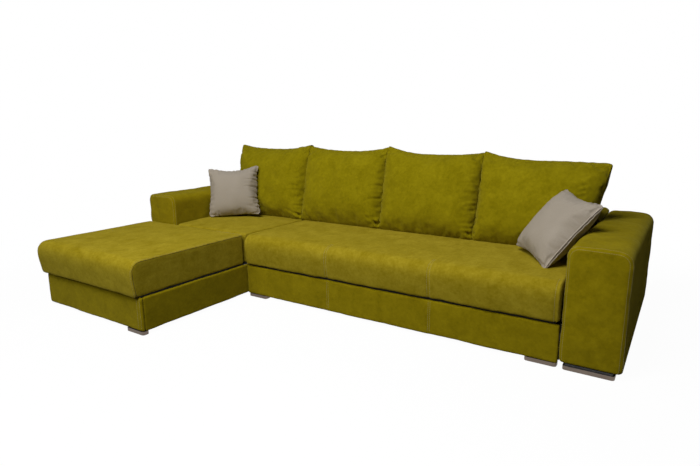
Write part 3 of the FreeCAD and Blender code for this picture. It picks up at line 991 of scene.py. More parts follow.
@dataclass
class SeatPads:
    """The three seat pads: the lifting chaise lid, the corner seat and the roll-out seat."""

    net: float = 0.0145
    filling: Filling = Filling(3.0, 0.005)
    uneven: tuple = ((0.16, 3, 0.0016), (0.05, 4, 0.0007))
    uneven_rim: float = 0.35
    uneven_zone: Range = (0.0, 0.12)
    fill: float = 0.85
    crown: float = 0.004
    crown_sides: Range = (0.0, 0.2)
    crown_rear: Range = (-0.1, 0.2)
    roll: float = 0.062
    nose: float = 0.007
    rear_round: float = 0.014
    tuck: float = 0.017
    tuck_zone: Range = (0.0, 0.12)
    lip: float = 0.0080
    lip_zone: Range = (0.0, 0.06)
    rim: Range = (0.006, 0.011)
    side_gap: float = 0.0006
    front_gap: float = 0.006
    plain_gap: float = 0.0008
    side_swell: float = 0.026
    side_zone: Range = (0.0, 0.25)
    front_swell: float = 0.008
    front_zone: Range = (0.0, 0.20)
    sag: float = 0.005
    sag_front: Range = (0.03, 0.05)
    sag_zone: Range = (0.0, 0.4)
    plump: float = 0.007
    plump_top: Range = (0.13, 0.01)
    corner_plump: float = 0.009
    corner_right: Range = (-0.95, -0.55)
    corner_front: Range = (-0.25, 0.05)
    corner_rear: Range = (0.24, 0.32)
    gusset: float = 0.020
    channel_depth: float = 0.004
    channel_width: float = 0.007
    seam_inset: float = 0.0055
    seam_radius: float = 0.0014
    row_inset: float = 0.012

    def _swelled(self, points: Array, low: Point, high: Point) -> Array:
        """Swell the free left side and the front of the chaise pad.

        Args:
            points: N by 3 places.
            low: The lowest corner.
            high: The highest corner.

        Returns:
            The new places.
        """
        moved = points.copy()
        beside = 1 - ramp(points[:, 0] - low[0], *self.side_zone)
        ahead = 1 - ramp(points[:, 1] - low[1], *self.front_zone)
        height = np.clip((points[:, 2] - low[2]) / (high[2] - low[2]), 0.0, 1.0)
        moved[:, 0] -= self.side_swell * beside * (0.75 + 0.25 * np.sin(np.pi * height))
        moved[:, 1] -= self.front_swell * ahead
        rim = np.maximum(1 - ramp(points[:, 1] - low[1], *self.sag_front),
                         0.5 * (1 - ramp(high[0] - points[:, 0], *self.rim)))
        moved[:, 2] -= self.sag * rim * (1 - ramp(height, *self.sag_zone))
        return moved

    def _raised(self, points: Array, high: Point) -> Array:
        """Raise the top of a pad, most of all beside the left arm.

        Args:
            points: N by 3 places.
            high: The highest corner.

        Returns:
            The new places.
        """
        moved = points.copy()
        corner = (1 - ramp(points[:, 0], *self.corner_right)) * ramp(points[:, 1], *self.corner_front)
        corner *= 1 - ramp(points[:, 1], *self.corner_rear)
        upper = ramp(points[:, 2], high[2] - self.plump_top[0], high[2] - self.plump_top[1])
        moved[:, 2] += (self.plump + self.corner_plump * corner) * upper
        return moved

    def _shaped(self, points: Array, low: Point, high: Point) -> Array:
        """Tuck a pad's front in towards its foot and let its rim down beside the board beneath.

        Args:
            points: N by 3 places.
            low: The pad's lowest corner.
            high: The pad's highest corner.

        Returns:
            The new places.
        """
        shaped = points.copy()
        nose = high[2] - self.roll - self.nose
        drop = np.clip((nose - points[:, 2]) / (nose - low[2]), 0.0, 1.0)
        forward = 1 - ramp(points[:, 1] - low[1], *self.tuck_zone)
        shaped[:, 1] += self.tuck * drop ** 1.5 * forward
        rim = np.minimum.reduce([points[:, 0] - low[0], high[0] - points[:, 0], points[:, 1] - low[1]])
        outside = 1 - ramp(rim, *self.rim)
        shaped[:, 2] -= self.lip * outside * (1 - ramp(points[:, 2] - low[2], *self.lip_zone))
        return shaped

    def _pad(self, name: str, node: str, tucked: bool) -> SoftForm:
        """Shape one pad from its node.

        Args:
            name: The piece's name.
            node: The CAD node that it stands for.
            tucked: Whether it has a rolled front above a board.

        Returns:
            The pad's form.
        """
        low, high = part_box(node)
        form = SoftForm(name, node)
        form.cover(self.net)
        form.fill(self.filling)
        form.divide()
        points = form.points()
        edge = np.minimum(points[:, 0] - low[0], high[0] - points[:, 0])
        depth = np.minimum(points[:, 1] - low[1], high[1] - points[:, 1])
        inside = ramp(np.minimum(edge, depth + 0.03), *self.uneven_zone)
        form.push(lumps(points, self.uneven) * (self.uneven_rim + (1 - self.uneven_rim) * inside))
        points = form.points()
        if not tucked:
            bend = self.rear_round
            step = np.clip(bend - (points[:, 1] - low[1]), 0.0, bend)
            lift = bend - np.sqrt(np.maximum(bend ** 2 - step ** 2, 0.0))
            points[:, 2] += np.where(points[:, 2] > high[2] - bend - 0.0005, lift, 0.0)
        rear = 1 - ramp(points[:, 1], *self.crown_rear)
        ceiling = high[2] + self.crown * ramp(edge, *self.crown_sides) * rear
        points[:, 2] = np.minimum(points[:, 2], ceiling)
        form.move_to(self._raised(points, high))
        front = self.front_gap if tucked else self.plain_gap
        form.keep_inside((low[0] - self.side_gap, low[1] - front, low[2]),
                         (high[0] + self.side_gap, high[1] + self.plain_gap, 1.0))
        if tucked:
            form.move_to(self._shaped(form.points(), low, high))
        return form

    def _groove(self, form: SoftForm, at_x: float, until_y: float) -> None:
        """Press a sewn channel round the front of a pad at one X.

        Args:
            form: The piece.
            at_x: Where along the sofa.
            until_y: Where it begins to fade.
        """
        points = form.points()
        gap = np.abs(points[:, 0] - at_x)
        shown = 1 - ramp(points[:, 1], until_y, until_y + 0.10)
        form.push(-self.channel_depth * np.exp(-((gap / self.channel_width) ** 2)) * shown)

    def _profile(self, low: Point, high: Point, x: float, inset: float, back: float) -> Array:
        """Return places up a pad's front, over its roll and back along its top.

        Args:
            low: The pad's lowest corner.
            high: The pad's highest corner.
            x: Where along the sofa.
            inset: How far inside the outline.
            back: How far behind the roll the line runs.

        Returns:
            The places.
        """
        radius = self.roll - inset
        foot = low[2] + 0.004
        line = [(x, low[1] + inset, foot + step * (high[2] - self.roll - foot) / 6) for step in range(7)]
        for angle in QUARTER_TURN[1:]:
            line.append((x, low[1] + self.roll - radius * math.cos(angle),
                         high[2] - self.roll + radius * math.sin(angle)))
        line.append((x, low[1] + self.roll + back, high[2] - inset))
        endless = ((-9.0, low[1], low[2]), (9.0, high[1], high[2]))
        return self._shaped(self._raised(np.array(line), high), *endless)

    def build(self, finishes: Wardrobe) -> None:
        """Make the three pads and their stitching.

        Args:
            finishes: The sofa's materials.
        """
        self._main(finishes)
        self._chaise(finishes)
        self._pad("corner_pad_soft", "corner_seat_pad", False).finish(
            finishes.seat, Body.FRAME.value, Slot.SEAT, self.fill)

    def _main(self, finishes: Wardrobe) -> None:
        """Make the roll-out seat pad.

        Args:
            finishes: The sofa's materials.
        """
        low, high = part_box("seat_pad")
        form = self._pad("seat_pad_soft", "seat_pad", True)
        points = form.points()
        from_end = high[0] - points[:, 0]
        points[:, 0] = high[0] - from_end * (1 - 0.5 * (1 - ramp(from_end, 0.0, 0.045)))
        form.move_to(points)
        for x in SEAT_SEAMS:
            self._groove(form, x, low[1] + 0.08)
        end = high[0] - self.gusset
        self._groove(form, end, low[1] + 0.05)
        form.finish(finishes.seat, Body.SEAT.value, Slot.SEAT, self.fill)
        surface = form.tree()
        needle = Needle("seat_pad_stitches", Body.SEAT.value, finishes.thread)
        for x in SEAT_SEAMS:
            for side in DOUBLE_ROW:
                needle.sew(self._profile(low, high, x + side, 0.0, 0.035), surface)
        needle.sew(self._profile(low, high, end - 0.003, 0.0, 0.02), surface)
        needle.finish()

    def _seam_shadow_cord(self, name: str, surface: BVHTree, line: Sequence[Point], finishes: Wardrobe) -> None:
        """Lay a near-black cord along a seam of the chaise pad's surface, a painted shadow of the seam's
        crease.

        Args:
            name: The piece's name.
            surface: The surface that carries it.
            line: Corners of the line.
            finishes: The sofa's materials.
        """
        route = Route(line)
        places = []
        for mark in np.linspace(0.0, route.length, max(8, int(route.length / 0.008))):
            spot, normal, _, _ = surface.find_nearest(route.at(mark), 0.04)
            if spot is not None:
                places.append(spot + normal * 0.0002)
        cord(name, places, self.seam_radius, finishes.seam, Body.LID.value)

    def _chaise(self, finishes: Wardrobe) -> None:
        """Make the lifting pad of the chaise, with a stitched seam round each side's outline.

        Args:
            finishes: The sofa's materials.
        """
        low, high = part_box("chaise_lid_pad")
        form = self._pad("chaise_pad_soft", "chaise_lid_pad", True)
        form.move_to(self._swelled(form.points(), low, high))
        form.finish(finishes.seat, Body.LID.value, Slot.SEAT, self.fill)
        surface = form.tree()
        needle = Needle("chaise_pad_stitches", Body.LID.value, finishes.thread)
        length = high[1] - low[1] - self.roll - 0.012
        for name, side, inward in (("left", low[0], 1.0), ("right", high[0], -1.0)):
            line = self._profile(low, high, side, self.seam_inset, length)
            self._seam_shadow_cord("chaise_pad_%s_seam" % name, surface, self._swelled(line, low, high), finishes)
            row = self._profile(low, high, side + inward * self.row_inset, 0.0, length)
            needle.sew(self._swelled(row, low, high), surface)
        for back in (0.010, 0.021):
            needle.sew([(high[0] - 0.24, high[1] - back, high[2]),
                        (high[0] - 0.02, high[1] - back, high[2])], surface)
        needle.finish()


@dataclass
class Arms:
    """The two padded arms with their outlined front faces."""

    net: float = 0.013
    uneven: tuple = ((0.2, 11, 0.0022), (0.06, 12, 0.0008))
    uneven_foot: float = 0.12
    skin: float = 0.0165
    face: float = 0.02
    round: float = 0.055
    seam_in: float = 0.008
    seam_depth: float = 0.003
    seam_width: float = 0.0055
    upper: Range = (0.30, 0.46)
    left_rise: float = 0.005
    overhang: float = 0.030
    overhang_zone: Range = (0.0, 0.9)
    fall: float = 0.019
    fall_zone: Range = (-0.05, 1.0)
    side_fall: float = 0.006
    side_fall_zone: Range = (0.5, 1.0)
    cheek: float = 0.009
    cheek_zone: Range = (0.6, 1.0)
    front_swell: float = 0.005
    front_zone: Range = (0.0, 0.03)
    front_foot: float = 0.15
    rows: tuple = ((0.0135, 0.044, 0.0), (0.0, 0.055, 0.009))

    def build(self, finishes: Wardrobe) -> None:
        """Make both arm covers.

        Args:
            finishes: The sofa's materials.
        """
        needle = Needle("arm_stitches", Body.FRAME.value, finishes.thread)
        for side in ("left", "right"):
            self._arm(side, finishes, needle)
        needle.finish()

    def _outline(self, low: Point, high: Point, inset: float, radius: float, y: float) -> Array:
        """Return the arch round an arm's front face.

        Args:
            low: The lowest corner.
            high: The highest corner.
            inset: How far inside the outline.
            radius: The radius of its corners.
            y: Where it lies.

        Returns:
            The places.
        """
        left, right, top = low[0] + inset, high[0] - inset, high[2] - inset
        line = [(left, y, low[2] + 0.01), (left, y, top - radius)]
        for angle in QUARTER_TURN[1:]:
            line.append((left + radius * (1 - math.cos(angle)), y, top - radius * (1 - math.sin(angle))))
        for angle in QUARTER_TURN:
            line.append((right - radius * (1 - math.sin(angle)), y, top - radius * (1 - math.cos(angle))))
        line.append((right, y, low[2] + 0.01))
        return np.array(line)

    def _stuffed(self, side: str, points: Array, low: Point, high: Point) -> Array:
        """Move places of an arm's plain form to where its stuffing puts them.

        Args:
            side: Which arm.
            points: N by 3 places.
            low: The arm's lowest corner.
            high: The arm's highest corner.

        Returns:
            The new places.
        """
        moved = points.copy()
        share = np.clip((points[:, 0] - low[0]) / (high[0] - low[0]), 0.0, 1.0)
        upper = ramp(points[:, 2], *self.upper)
        if side == "left":
            moved[:, 0] -= self.overhang * upper * (1 - ramp(share, *self.overhang_zone))
            moved[:, 2] += self.left_rise * upper
        else:
            moved[:, 2] -= self.fall * ramp(points[:, 1], *self.fall_zone) * upper
            moved[:, 2] -= self.side_fall * ramp(share, *self.side_fall_zone) * upper
            moved[:, 0] += self.cheek * ramp(share, *self.cheek_zone)
        bow = np.sin(np.pi * share) * ramp(points[:, 2], low[2], low[2] + self.front_foot)
        moved[:, 1] -= self.front_swell * bow * (1 - ramp(points[:, 1] - low[1], *self.front_zone))
        return moved

    def _arm(self, side: str, finishes: Wardrobe, needle: Needle) -> None:
        """Make one arm cover.

        Args:
            side: Which arm.
            finishes: The sofa's materials.
            needle: Sews the rows.
        """
        node = side + "_arm_cover"
        low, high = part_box(node)
        form = SoftForm(node + "_soft", node)
        form.cover(self.net)
        form.soften(1, 0.3)
        form.divide()
        points = form.points()
        normals = form.outward()
        outer = np.minimum.reduce([points[:, 0] - low[0], high[0] - points[:, 0], points[:, 1] - low[1],
                                   high[1] - points[:, 1], high[2] - points[:, 2]]) < self.skin
        form.push(np.where(outer, lumps(points, self.uneven), 0.0)
                  * ramp(points[:, 2], low[2], low[2] + self.uneven_foot))
        points = form.points()
        arch = self._outline(low, high, self.seam_in, self.round - self.seam_in, 0.0)[:, (0, 2)]
        gap, _ = off_line(points[:, (0, 2)], arch)
        face = (points[:, 1] < low[1] + self.face) & (normals[:, 1] < 0.3)
        form.push(np.where(face, -self.seam_depth * np.exp(-((gap / self.seam_width) ** 2)), 0.0))
        form.keep_inside((low[0] - 0.002, low[1] - 0.004, low[2]), (high[0] + 0.002, high[1] + 0.002, 1.0))
        form.move_to(self._stuffed(side, form.points(), low, high))
        form.finish(finishes.cover, Body.FRAME.value, Slot.COVER, 0.9)
        surface = form.tree()
        for inset, radius, back in self.rows:
            line = self._outline(low, high, inset, radius, low[1] + back)
            needle.sew(self._stuffed(side, line, low, high), surface)


@dataclass
class BaseCovers:
    """The covered boards of the base, the front panel of the roll-out seat and the back."""

    net: float = 0.011
    back_net: float = 0.016
    top_net: float = 0.014
    uneven: tuple = ((0.18, 21, 0.0010), (0.05, 22, 0.0004))
    fill: float = 0.9
    low_board: float = 0.05
    hang: float = 0.0105
    hang_zone: float = 0.06
    corner_rows: Range = (0.009, 0.034)
    row_end: float = 0.008
    end_top: Range = (0.05, 0.01)
    end_rise: float = 0.017
    rise_zone: Range = (0.09, 0.03)
    end_drop: float = 0.013
    drop_zone: float = 0.022
    end_out: float = 0.020
    out_zone: float = 0.05

    def build(self, finishes: Wardrobe) -> None:
        """Make every covered board.

        Args:
            finishes: The sofa's materials.
        """
        frame_needle = Needle("base_stitches", Body.FRAME.value, finishes.thread)
        seat_needle = Needle("front_panel_stitches", Body.SEAT.value, finishes.thread)
        for node in ("chaise_front_panel", "chaise_left_panel", "chaise_right_panel"):
            form = self._board(node, self.net, 2, Body.FRAME, finishes)
            if node == "chaise_front_panel":
                _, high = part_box(node)
                self._rows(node, form, frame_needle, [high[0] - back for back in self.corner_rows])
        form = self._board("seat_front_panel", self.net, 2, Body.SEAT, finishes)
        self._rows("seat_front_panel", form, seat_needle,
                   [seam + side for seam in SEAT_SEAMS for side in DOUBLE_ROW])
        for node in ("back_front_panel", "back_rear_panel"):
            self._board(node, self.back_net, 1, Body.FRAME, finishes)
        self._board("back_top_pad", self.top_net, 2, Body.FRAME, finishes)
        self._shade_strips(finishes)
        frame_needle.finish()
        seat_needle.finish()

    def _rows(self, node: str, form: SoftForm, needle: Needle, places: Sequence[float]) -> None:
        """Sew upright rows on a board's front.

        Args:
            node: The CAD node that it stands for.
            form: The piece.
            needle: Sews the rows.
            places: The X of each row.
        """
        low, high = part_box(node)
        surface = form.tree()
        for x in places:
            needle.sew([(x, low[1], low[2] + self.row_end), (x, low[1], high[2] - self.row_end)], surface)

    def _top(self, form: SoftForm, high: Point) -> None:
        """Round the back top's right end and bring it up to the arm.

        Args:
            form: The piece.
            high: The highest corner.
        """
        points = form.points()
        upper = ramp(points[:, 2], *(high[2] - below for below in self.end_top))
        rise = self.end_rise * ramp(points[:, 0], *(high[0] - inside for inside in self.rise_zone))
        drop = self.end_drop * ramp(points[:, 0], high[0] - self.drop_zone, high[0])
        points[:, 2] += (rise - drop) * upper
        points[:, 0] += self.end_out * ramp(points[:, 0], high[0] - self.out_zone, high[0]) * upper
        form.move_to(points)

    def _shade_strips(self, finishes: Wardrobe) -> None:
        """Close the slots round the roll-out seat's front panel with near-black strips, painted shade that
        keeps the slots dark.

        Args:
            finishes: The sofa's materials.
        """
        low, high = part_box("seat_front_panel")
        pad_low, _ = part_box("seat_pad")
        arm_low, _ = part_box("right_arm_cover")
        _, side_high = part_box("chaise_right_panel")
        behind, deep = high[1] + 0.0015, high[1] + 0.0045
        foot, head = low[2] + 0.004, high[2] - 0.002
        # Three near-black strips: painted shade in the slot above the seat panel and in the slots beside it.
        for name, start, end, body in (
                ("seat_front_shade_strip", (low[0] + 0.02, high[1] - 0.014, high[2] - 0.006),
                 (high[0] - 0.02, high[1] - 0.003, pad_low[2] + 0.003), Body.SEAT),
                ("right_slot_shade_strip", (arm_low[0] - 0.014, behind, foot), (arm_low[0] - 0.0002, deep, head),
                 Body.FRAME),
                ("left_slot_shade_strip", (side_high[0] + 0.0002, behind, foot),
                 (side_high[0] + 0.014, deep, head), Body.FRAME)):
            dress(block(name, start, end, 0.0008, 2, False), finishes.shade_lining, body.value)

    def _board(self, node: str, net: float, rounds: int, body: Body, finishes: Wardrobe) -> SoftForm:
        """Make one covered board from its node.

        Args:
            node: The CAD node.
            net: The size of the net's squares.
            rounds: How often its corners are relaxed.
            body: The body that it rides on.
            finishes: The sofa's materials.

        Returns:
            The board's form.
        """
        low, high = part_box(node)
        form = SoftForm(node + "_soft", node)
        form.cover(net)
        form.soften(rounds, 0.2)
        form.divide()
        form.push(lumps(form.points(), self.uneven))
        form.keep_inside(low, high)
        if low[2] < self.low_board:
            points = form.points()
            points[:, 2] -= self.hang * (1 - ramp(points[:, 2], low[2], low[2] + self.hang_zone))
            form.move_to(points)
        if node == "back_top_pad":
            self._top(form, high)
        form.finish(finishes.cover, body.value, Slot.COVER, self.fill)
        return form


@dataclass
class BackCushions:
    """The four loose cushions that lean on the back."""

    columns: int = 62
    rows: int = 56
    seam: float = 0.010
    lean: float = math.radians(18.5)
    foot_y: float = from_plan(0, 1448.0, 0)[1]
    foot_z: float = 0.401
    reach: float = 0.6
    thick: float = 0.215
    filling: Filling = Filling(2.5, 0.012, -0.04, 0.25)
    seam_foot: tuple[float, ...] = (308.0, 940.0, 1614.333, 2276.667, 2895.0)
    seam_sway: tuple[float, ...] = (-0.124, -0.039, -0.035, -0.006, 0.116)
    left_ear: tuple[float, ...] = (0.590, 0.591, 0.605, 0.586)
    right_ear: tuple[float, ...] = (0.603, 0.597, 0.576, 0.532)
    middle: tuple[float, ...] = (0.561, 0.561, 0.554, 0.537)
    stand: float = 0.0072
    ear_round: float = 0.022
    foot_round_left: float = 0.050
    foot_round_right: float = 0.016
    squeeze: float = 1.025
    half_height: float = 0.29
    half_width: float = 0.32
    across_power: float = 3.2
    lower_powers: Range = (3.0, 0.7)
    upper_powers: Range = (2.3, 0.75)
    blend: float = 0.45
    edge_swell: float = 0.009
    edge_zone: Range = (0.0, 0.03)
    broad: tuple = (0.16, 60, 0.0040)
    broad_zone: Range = (0.02, 0.1)
    narrow: tuple = (0.045, 70, 0.0010)
    fold_zone: Range = (-0.002, 0.010)
    rear_share: float = 0.6
    joint: Range = (0.0008, 0.9992)
    free_ends: Range = (-0.012, 1.006)
    over_arm: float = 0.006
    arm_start: Range = (0.19, 0.26)
    arm_end: Range = (0.38, 0.53)
    side_folds: Folds = Folds((0.03, 0.12), (0.0025, 0.0060), (0.006, 0.011), (0.025, 0.07), (-0.55, -0.05))
    top_folds: Folds = Folds((0.02, 0.075), (0.0015, 0.0035), (0.005, 0.009), (0.06, 0.13), (-0.5, 0.1))
    foot_folds: Folds = Folds((0.03, 0.07), (0.0015, 0.0035), (0.006, 0.010), (0.04, 0.09), (-0.2, 0.2))
    ear_folds: Folds = Folds((0.07, 0.16), (0.7, 1.2), (0.008, 0.013), lean=(-0.15, 0.15))

    def build(self, finishes: Wardrobe) -> list[BVHTree]:
        """Make the four cushions and return their surfaces."""
        return [self._cushion(number, finishes) for number in range(4)]

    def _sides(self, number: int, rise: Array) -> tuple[Array, Array]:
        """Return the X of a cushion's left and right seams at a height up its face.

        Args:
            number: Which cushion, from the left.
            rise: Heights up the cushion's face.

        Returns:
            The X of the left seam and of the right one.
        """
        low, high = ((self.seam_foot[at] - 1600) / 1000 + self.seam_sway[at] * rise / self.reach
                     for at in (number, number + 1))
        return low, high

    def _unfold(self, number: int, points: Array) -> tuple[Array, Array, Array, Array]:
        """Return across share, rise, depth and width of each point of a cushion.

        Args:
            number: Which cushion, from the left.
            points: N by 3 places.

        Returns:
            The share, the rise, the depth and the width.
        """
        y = points[:, 1] - self.foot_y
        z = points[:, 2] - self.foot_z
        rise = y * math.sin(self.lean) + z * math.cos(self.lean)
        depth = y * math.cos(self.lean) - z * math.sin(self.lean)
        low, high = self._sides(number, rise)
        return (points[:, 0] - low) / (high - low), rise, depth, high - low

    def _top(self, number: int, share: Array) -> Array:
        """Return the height of a cushion's top seam."""
        ear = np.where(share < 0.5, self.left_ear[number], self.right_ear[number])
        return self.middle[number] + (ear - self.middle[number]) * np.abs(2 * share - 1) ** 2.6

    def _gathers(self, number: int) -> Iterator[Crease]:
        """Draw the folds of a cushion, in metres across and up its face.

        Args:
            number: Which cushion, from the left.

        Yields:
            The folds at the sides, along the top, along the foot and in the corners.
        """
        dice = np.random.default_rng(150 + number)
        width = (self.seam_foot[number + 1] - self.seam_foot[number]) / 1000
        kind = self.side_folds
        for edge, inward, busy in ((0.0, 1.0, 0.45), (width, -1.0, 1.0)):
            height = 0.05
            while height < 0.50:
                low_down = 1.0 - ramp(np.array([height]), 0.25, 0.45)[0] * 0.5
                length = dice.uniform(*kind.length) * (0.4 + 0.6 * busy) * low_down
                slope = dice.uniform(*kind.lean)
                yield Crease(((edge, height), (edge + inward * length * 0.5, height + slope * length * 0.35),
                              (edge + inward * length, height + slope * length)),
                             dice.uniform(*kind.depth) * (0.5 + 0.5 * busy) * low_down,
                             dice.uniform(*kind.width))
                height += dice.uniform(*kind.pace) / (0.35 + 0.65 * busy)
        across = 0.07
        top = self.middle[number]
        kind = self.top_folds
        while across < width - 0.06:
            length = dice.uniform(*kind.length)
            slope = dice.uniform(*kind.lean)
            yield Crease(((across, top + 0.01), (across + slope * length, top - length)),
                         dice.uniform(*kind.depth), dice.uniform(*kind.width))
            across += dice.uniform(*kind.pace)
        across = 0.06
        kind = self.foot_folds
        while across < width - 0.05:
            length = dice.uniform(*kind.length)
            yield Crease(((across, 0.015), (across + dice.uniform(*kind.lean) * length, 0.02 + length)),
                         dice.uniform(*kind.depth), dice.uniform(*kind.width))
            across += dice.uniform(*kind.pace)
        kind = self.ear_folds
        for corner, inward, up, down, depth in (
                (0.0, 1.0, 0.57, -1.0, 0.0030), (width, -1.0, 0.57, -1.0, 0.0035),
                (0.0, 1.0, 0.04, 1.0, 0.0020), (width, -1.0, 0.03, 1.0, 0.0065)):
            for angle in (0.45, 0.85, 1.2):
                turn = angle + dice.uniform(*kind.lean)
                length = dice.uniform(*kind.length)
                end = (corner + inward * length * math.cos(turn), up + down * length * math.sin(turn))
                yield Crease(((corner + inward * 0.012, up + down * 0.012), end),
                             depth * dice.uniform(*kind.depth), dice.uniform(*kind.width))

    def _bulge(self, number: int, rise: Array) -> Array:
        """Return how far a cushion's free right side swells over the arm, in metres.

        Args:
            number: Which cushion, from the left.
            rise: Heights up the cushion's face.

        Returns:
            The swelling at each height.
        """
        if number < 3:
            return np.zeros(len(rise))
        return self.over_arm * ramp(rise, *self.arm_start) * (1 - ramp(rise, *self.arm_end))

    def _lay_out(self, number: int, form: CaseForm) -> Array:
        """Set the case out as a filled cushion that leans on the back.

        Args:
            number: Which cushion, from the left.
            form: The case.

        Returns:
            1 at the seam and 0 elsewhere.
        """
        across, upward, side, seam = form.layout()
        half = (self.seam_foot[number + 1] - self.seam_foot[number]) / 2000
        foot_round = np.where(across > 0, self.foot_round_right, self.foot_round_left)
        radius = np.where(upward > 0, self.ear_round, foot_round)
        across, upward = rounded(across, upward, radius / half, radius / self.half_height)
        share = 0.5 + across / 2 * self.squeeze
        rise = (upward + 1) / 2 * self._top(number, np.clip(share, 0.0, 1.0))
        swell = np.sqrt(np.maximum(0.0, 1 - np.abs(across) ** self.across_power))
        lower, upper = (np.maximum(0.0, 1 - np.abs(upward) ** inner) ** outer
                        for inner, outer in (self.lower_powers, self.upper_powers))
        tall = np.where(upward < 0, lower, upper)
        body = self.blend * swell * tall + (1 - self.blend) * np.minimum(swell, tall)
        edge = np.minimum(1 - np.abs(across), 1 - np.abs(upward)) * self.half_width
        depth = side * (self.seam / 2 + (self.thick / 2 - self.seam / 2) * body
                        + self.edge_swell * ramp(edge, *self.edge_zone))
        low, high = self._sides(number, rise)
        form.set_out(np.stack([
            low + (high - low) * share + self._bulge(number, rise) * ramp(share, 0.7, 1.0),
            self.foot_y + rise * math.sin(self.lean) + depth * math.cos(self.lean),
            self.foot_z + rise * math.cos(self.lean) - depth * math.sin(self.lean),
        ], axis=1))
        return seam

    def _cushion(self, number: int, finishes: Wardrobe) -> BVHTree:
        """Make one cushion and return its surface.

        Args:
            number: Which cushion, from the left.
            finishes: The sofa's materials.

        Returns:
            The surface, for the pillow that leans on it.
        """
        node = "back_cushion_%d" % (number + 1)
        low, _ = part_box(node)
        form = CaseForm(node + "_soft", node, self.columns, self.rows)
        seam = self._lay_out(number, form)
        form.fill(self.filling, seam)
        form.divide()
        points = form.points()
        share, rise, depth, width = self._unfold(number, points)
        flat = np.stack([share * width, rise], axis=1)
        height = np.zeros(len(points))
        for fold in self._gathers(number):
            height += fold.height(flat)
        edge = np.minimum(np.minimum(share, 1 - share) * width, self._top(number, share) - rise)
        height *= ramp(edge, *self.fold_zone)
        for (length, seed, size), zone in ((self.broad, ramp(edge, *self.broad_zone)), (self.narrow, 1.0)):
            height += waves(points, length, seed + number) * size * zone
        form.push(np.where(depth < 0, height, height * self.rear_share))
        points = form.points()
        points[:, 2] = np.maximum(points[:, 2], low[2] + self.stand)
        share, rise, depth, width = self._unfold(number, points)
        least = self.free_ends[0] if number == 0 else self.joint[0]
        most = self.free_ends[1] + self._bulge(number, rise) / width if number == 3 else self.joint[1]
        points[:, 0] += (np.clip(share, least, most) - share) * width
        form.move_to(points)
        behind = ["back_top_pad", "back_front_panel"] + ["right_arm_cover"] * (number == 3)
        form.press_clear([node_tree(name) for name in behind])
        form.finish(finishes.cushion, "cushion_body_%d" % (number + 1), Slot.CUSHION, 0.7)
        return form.tree()


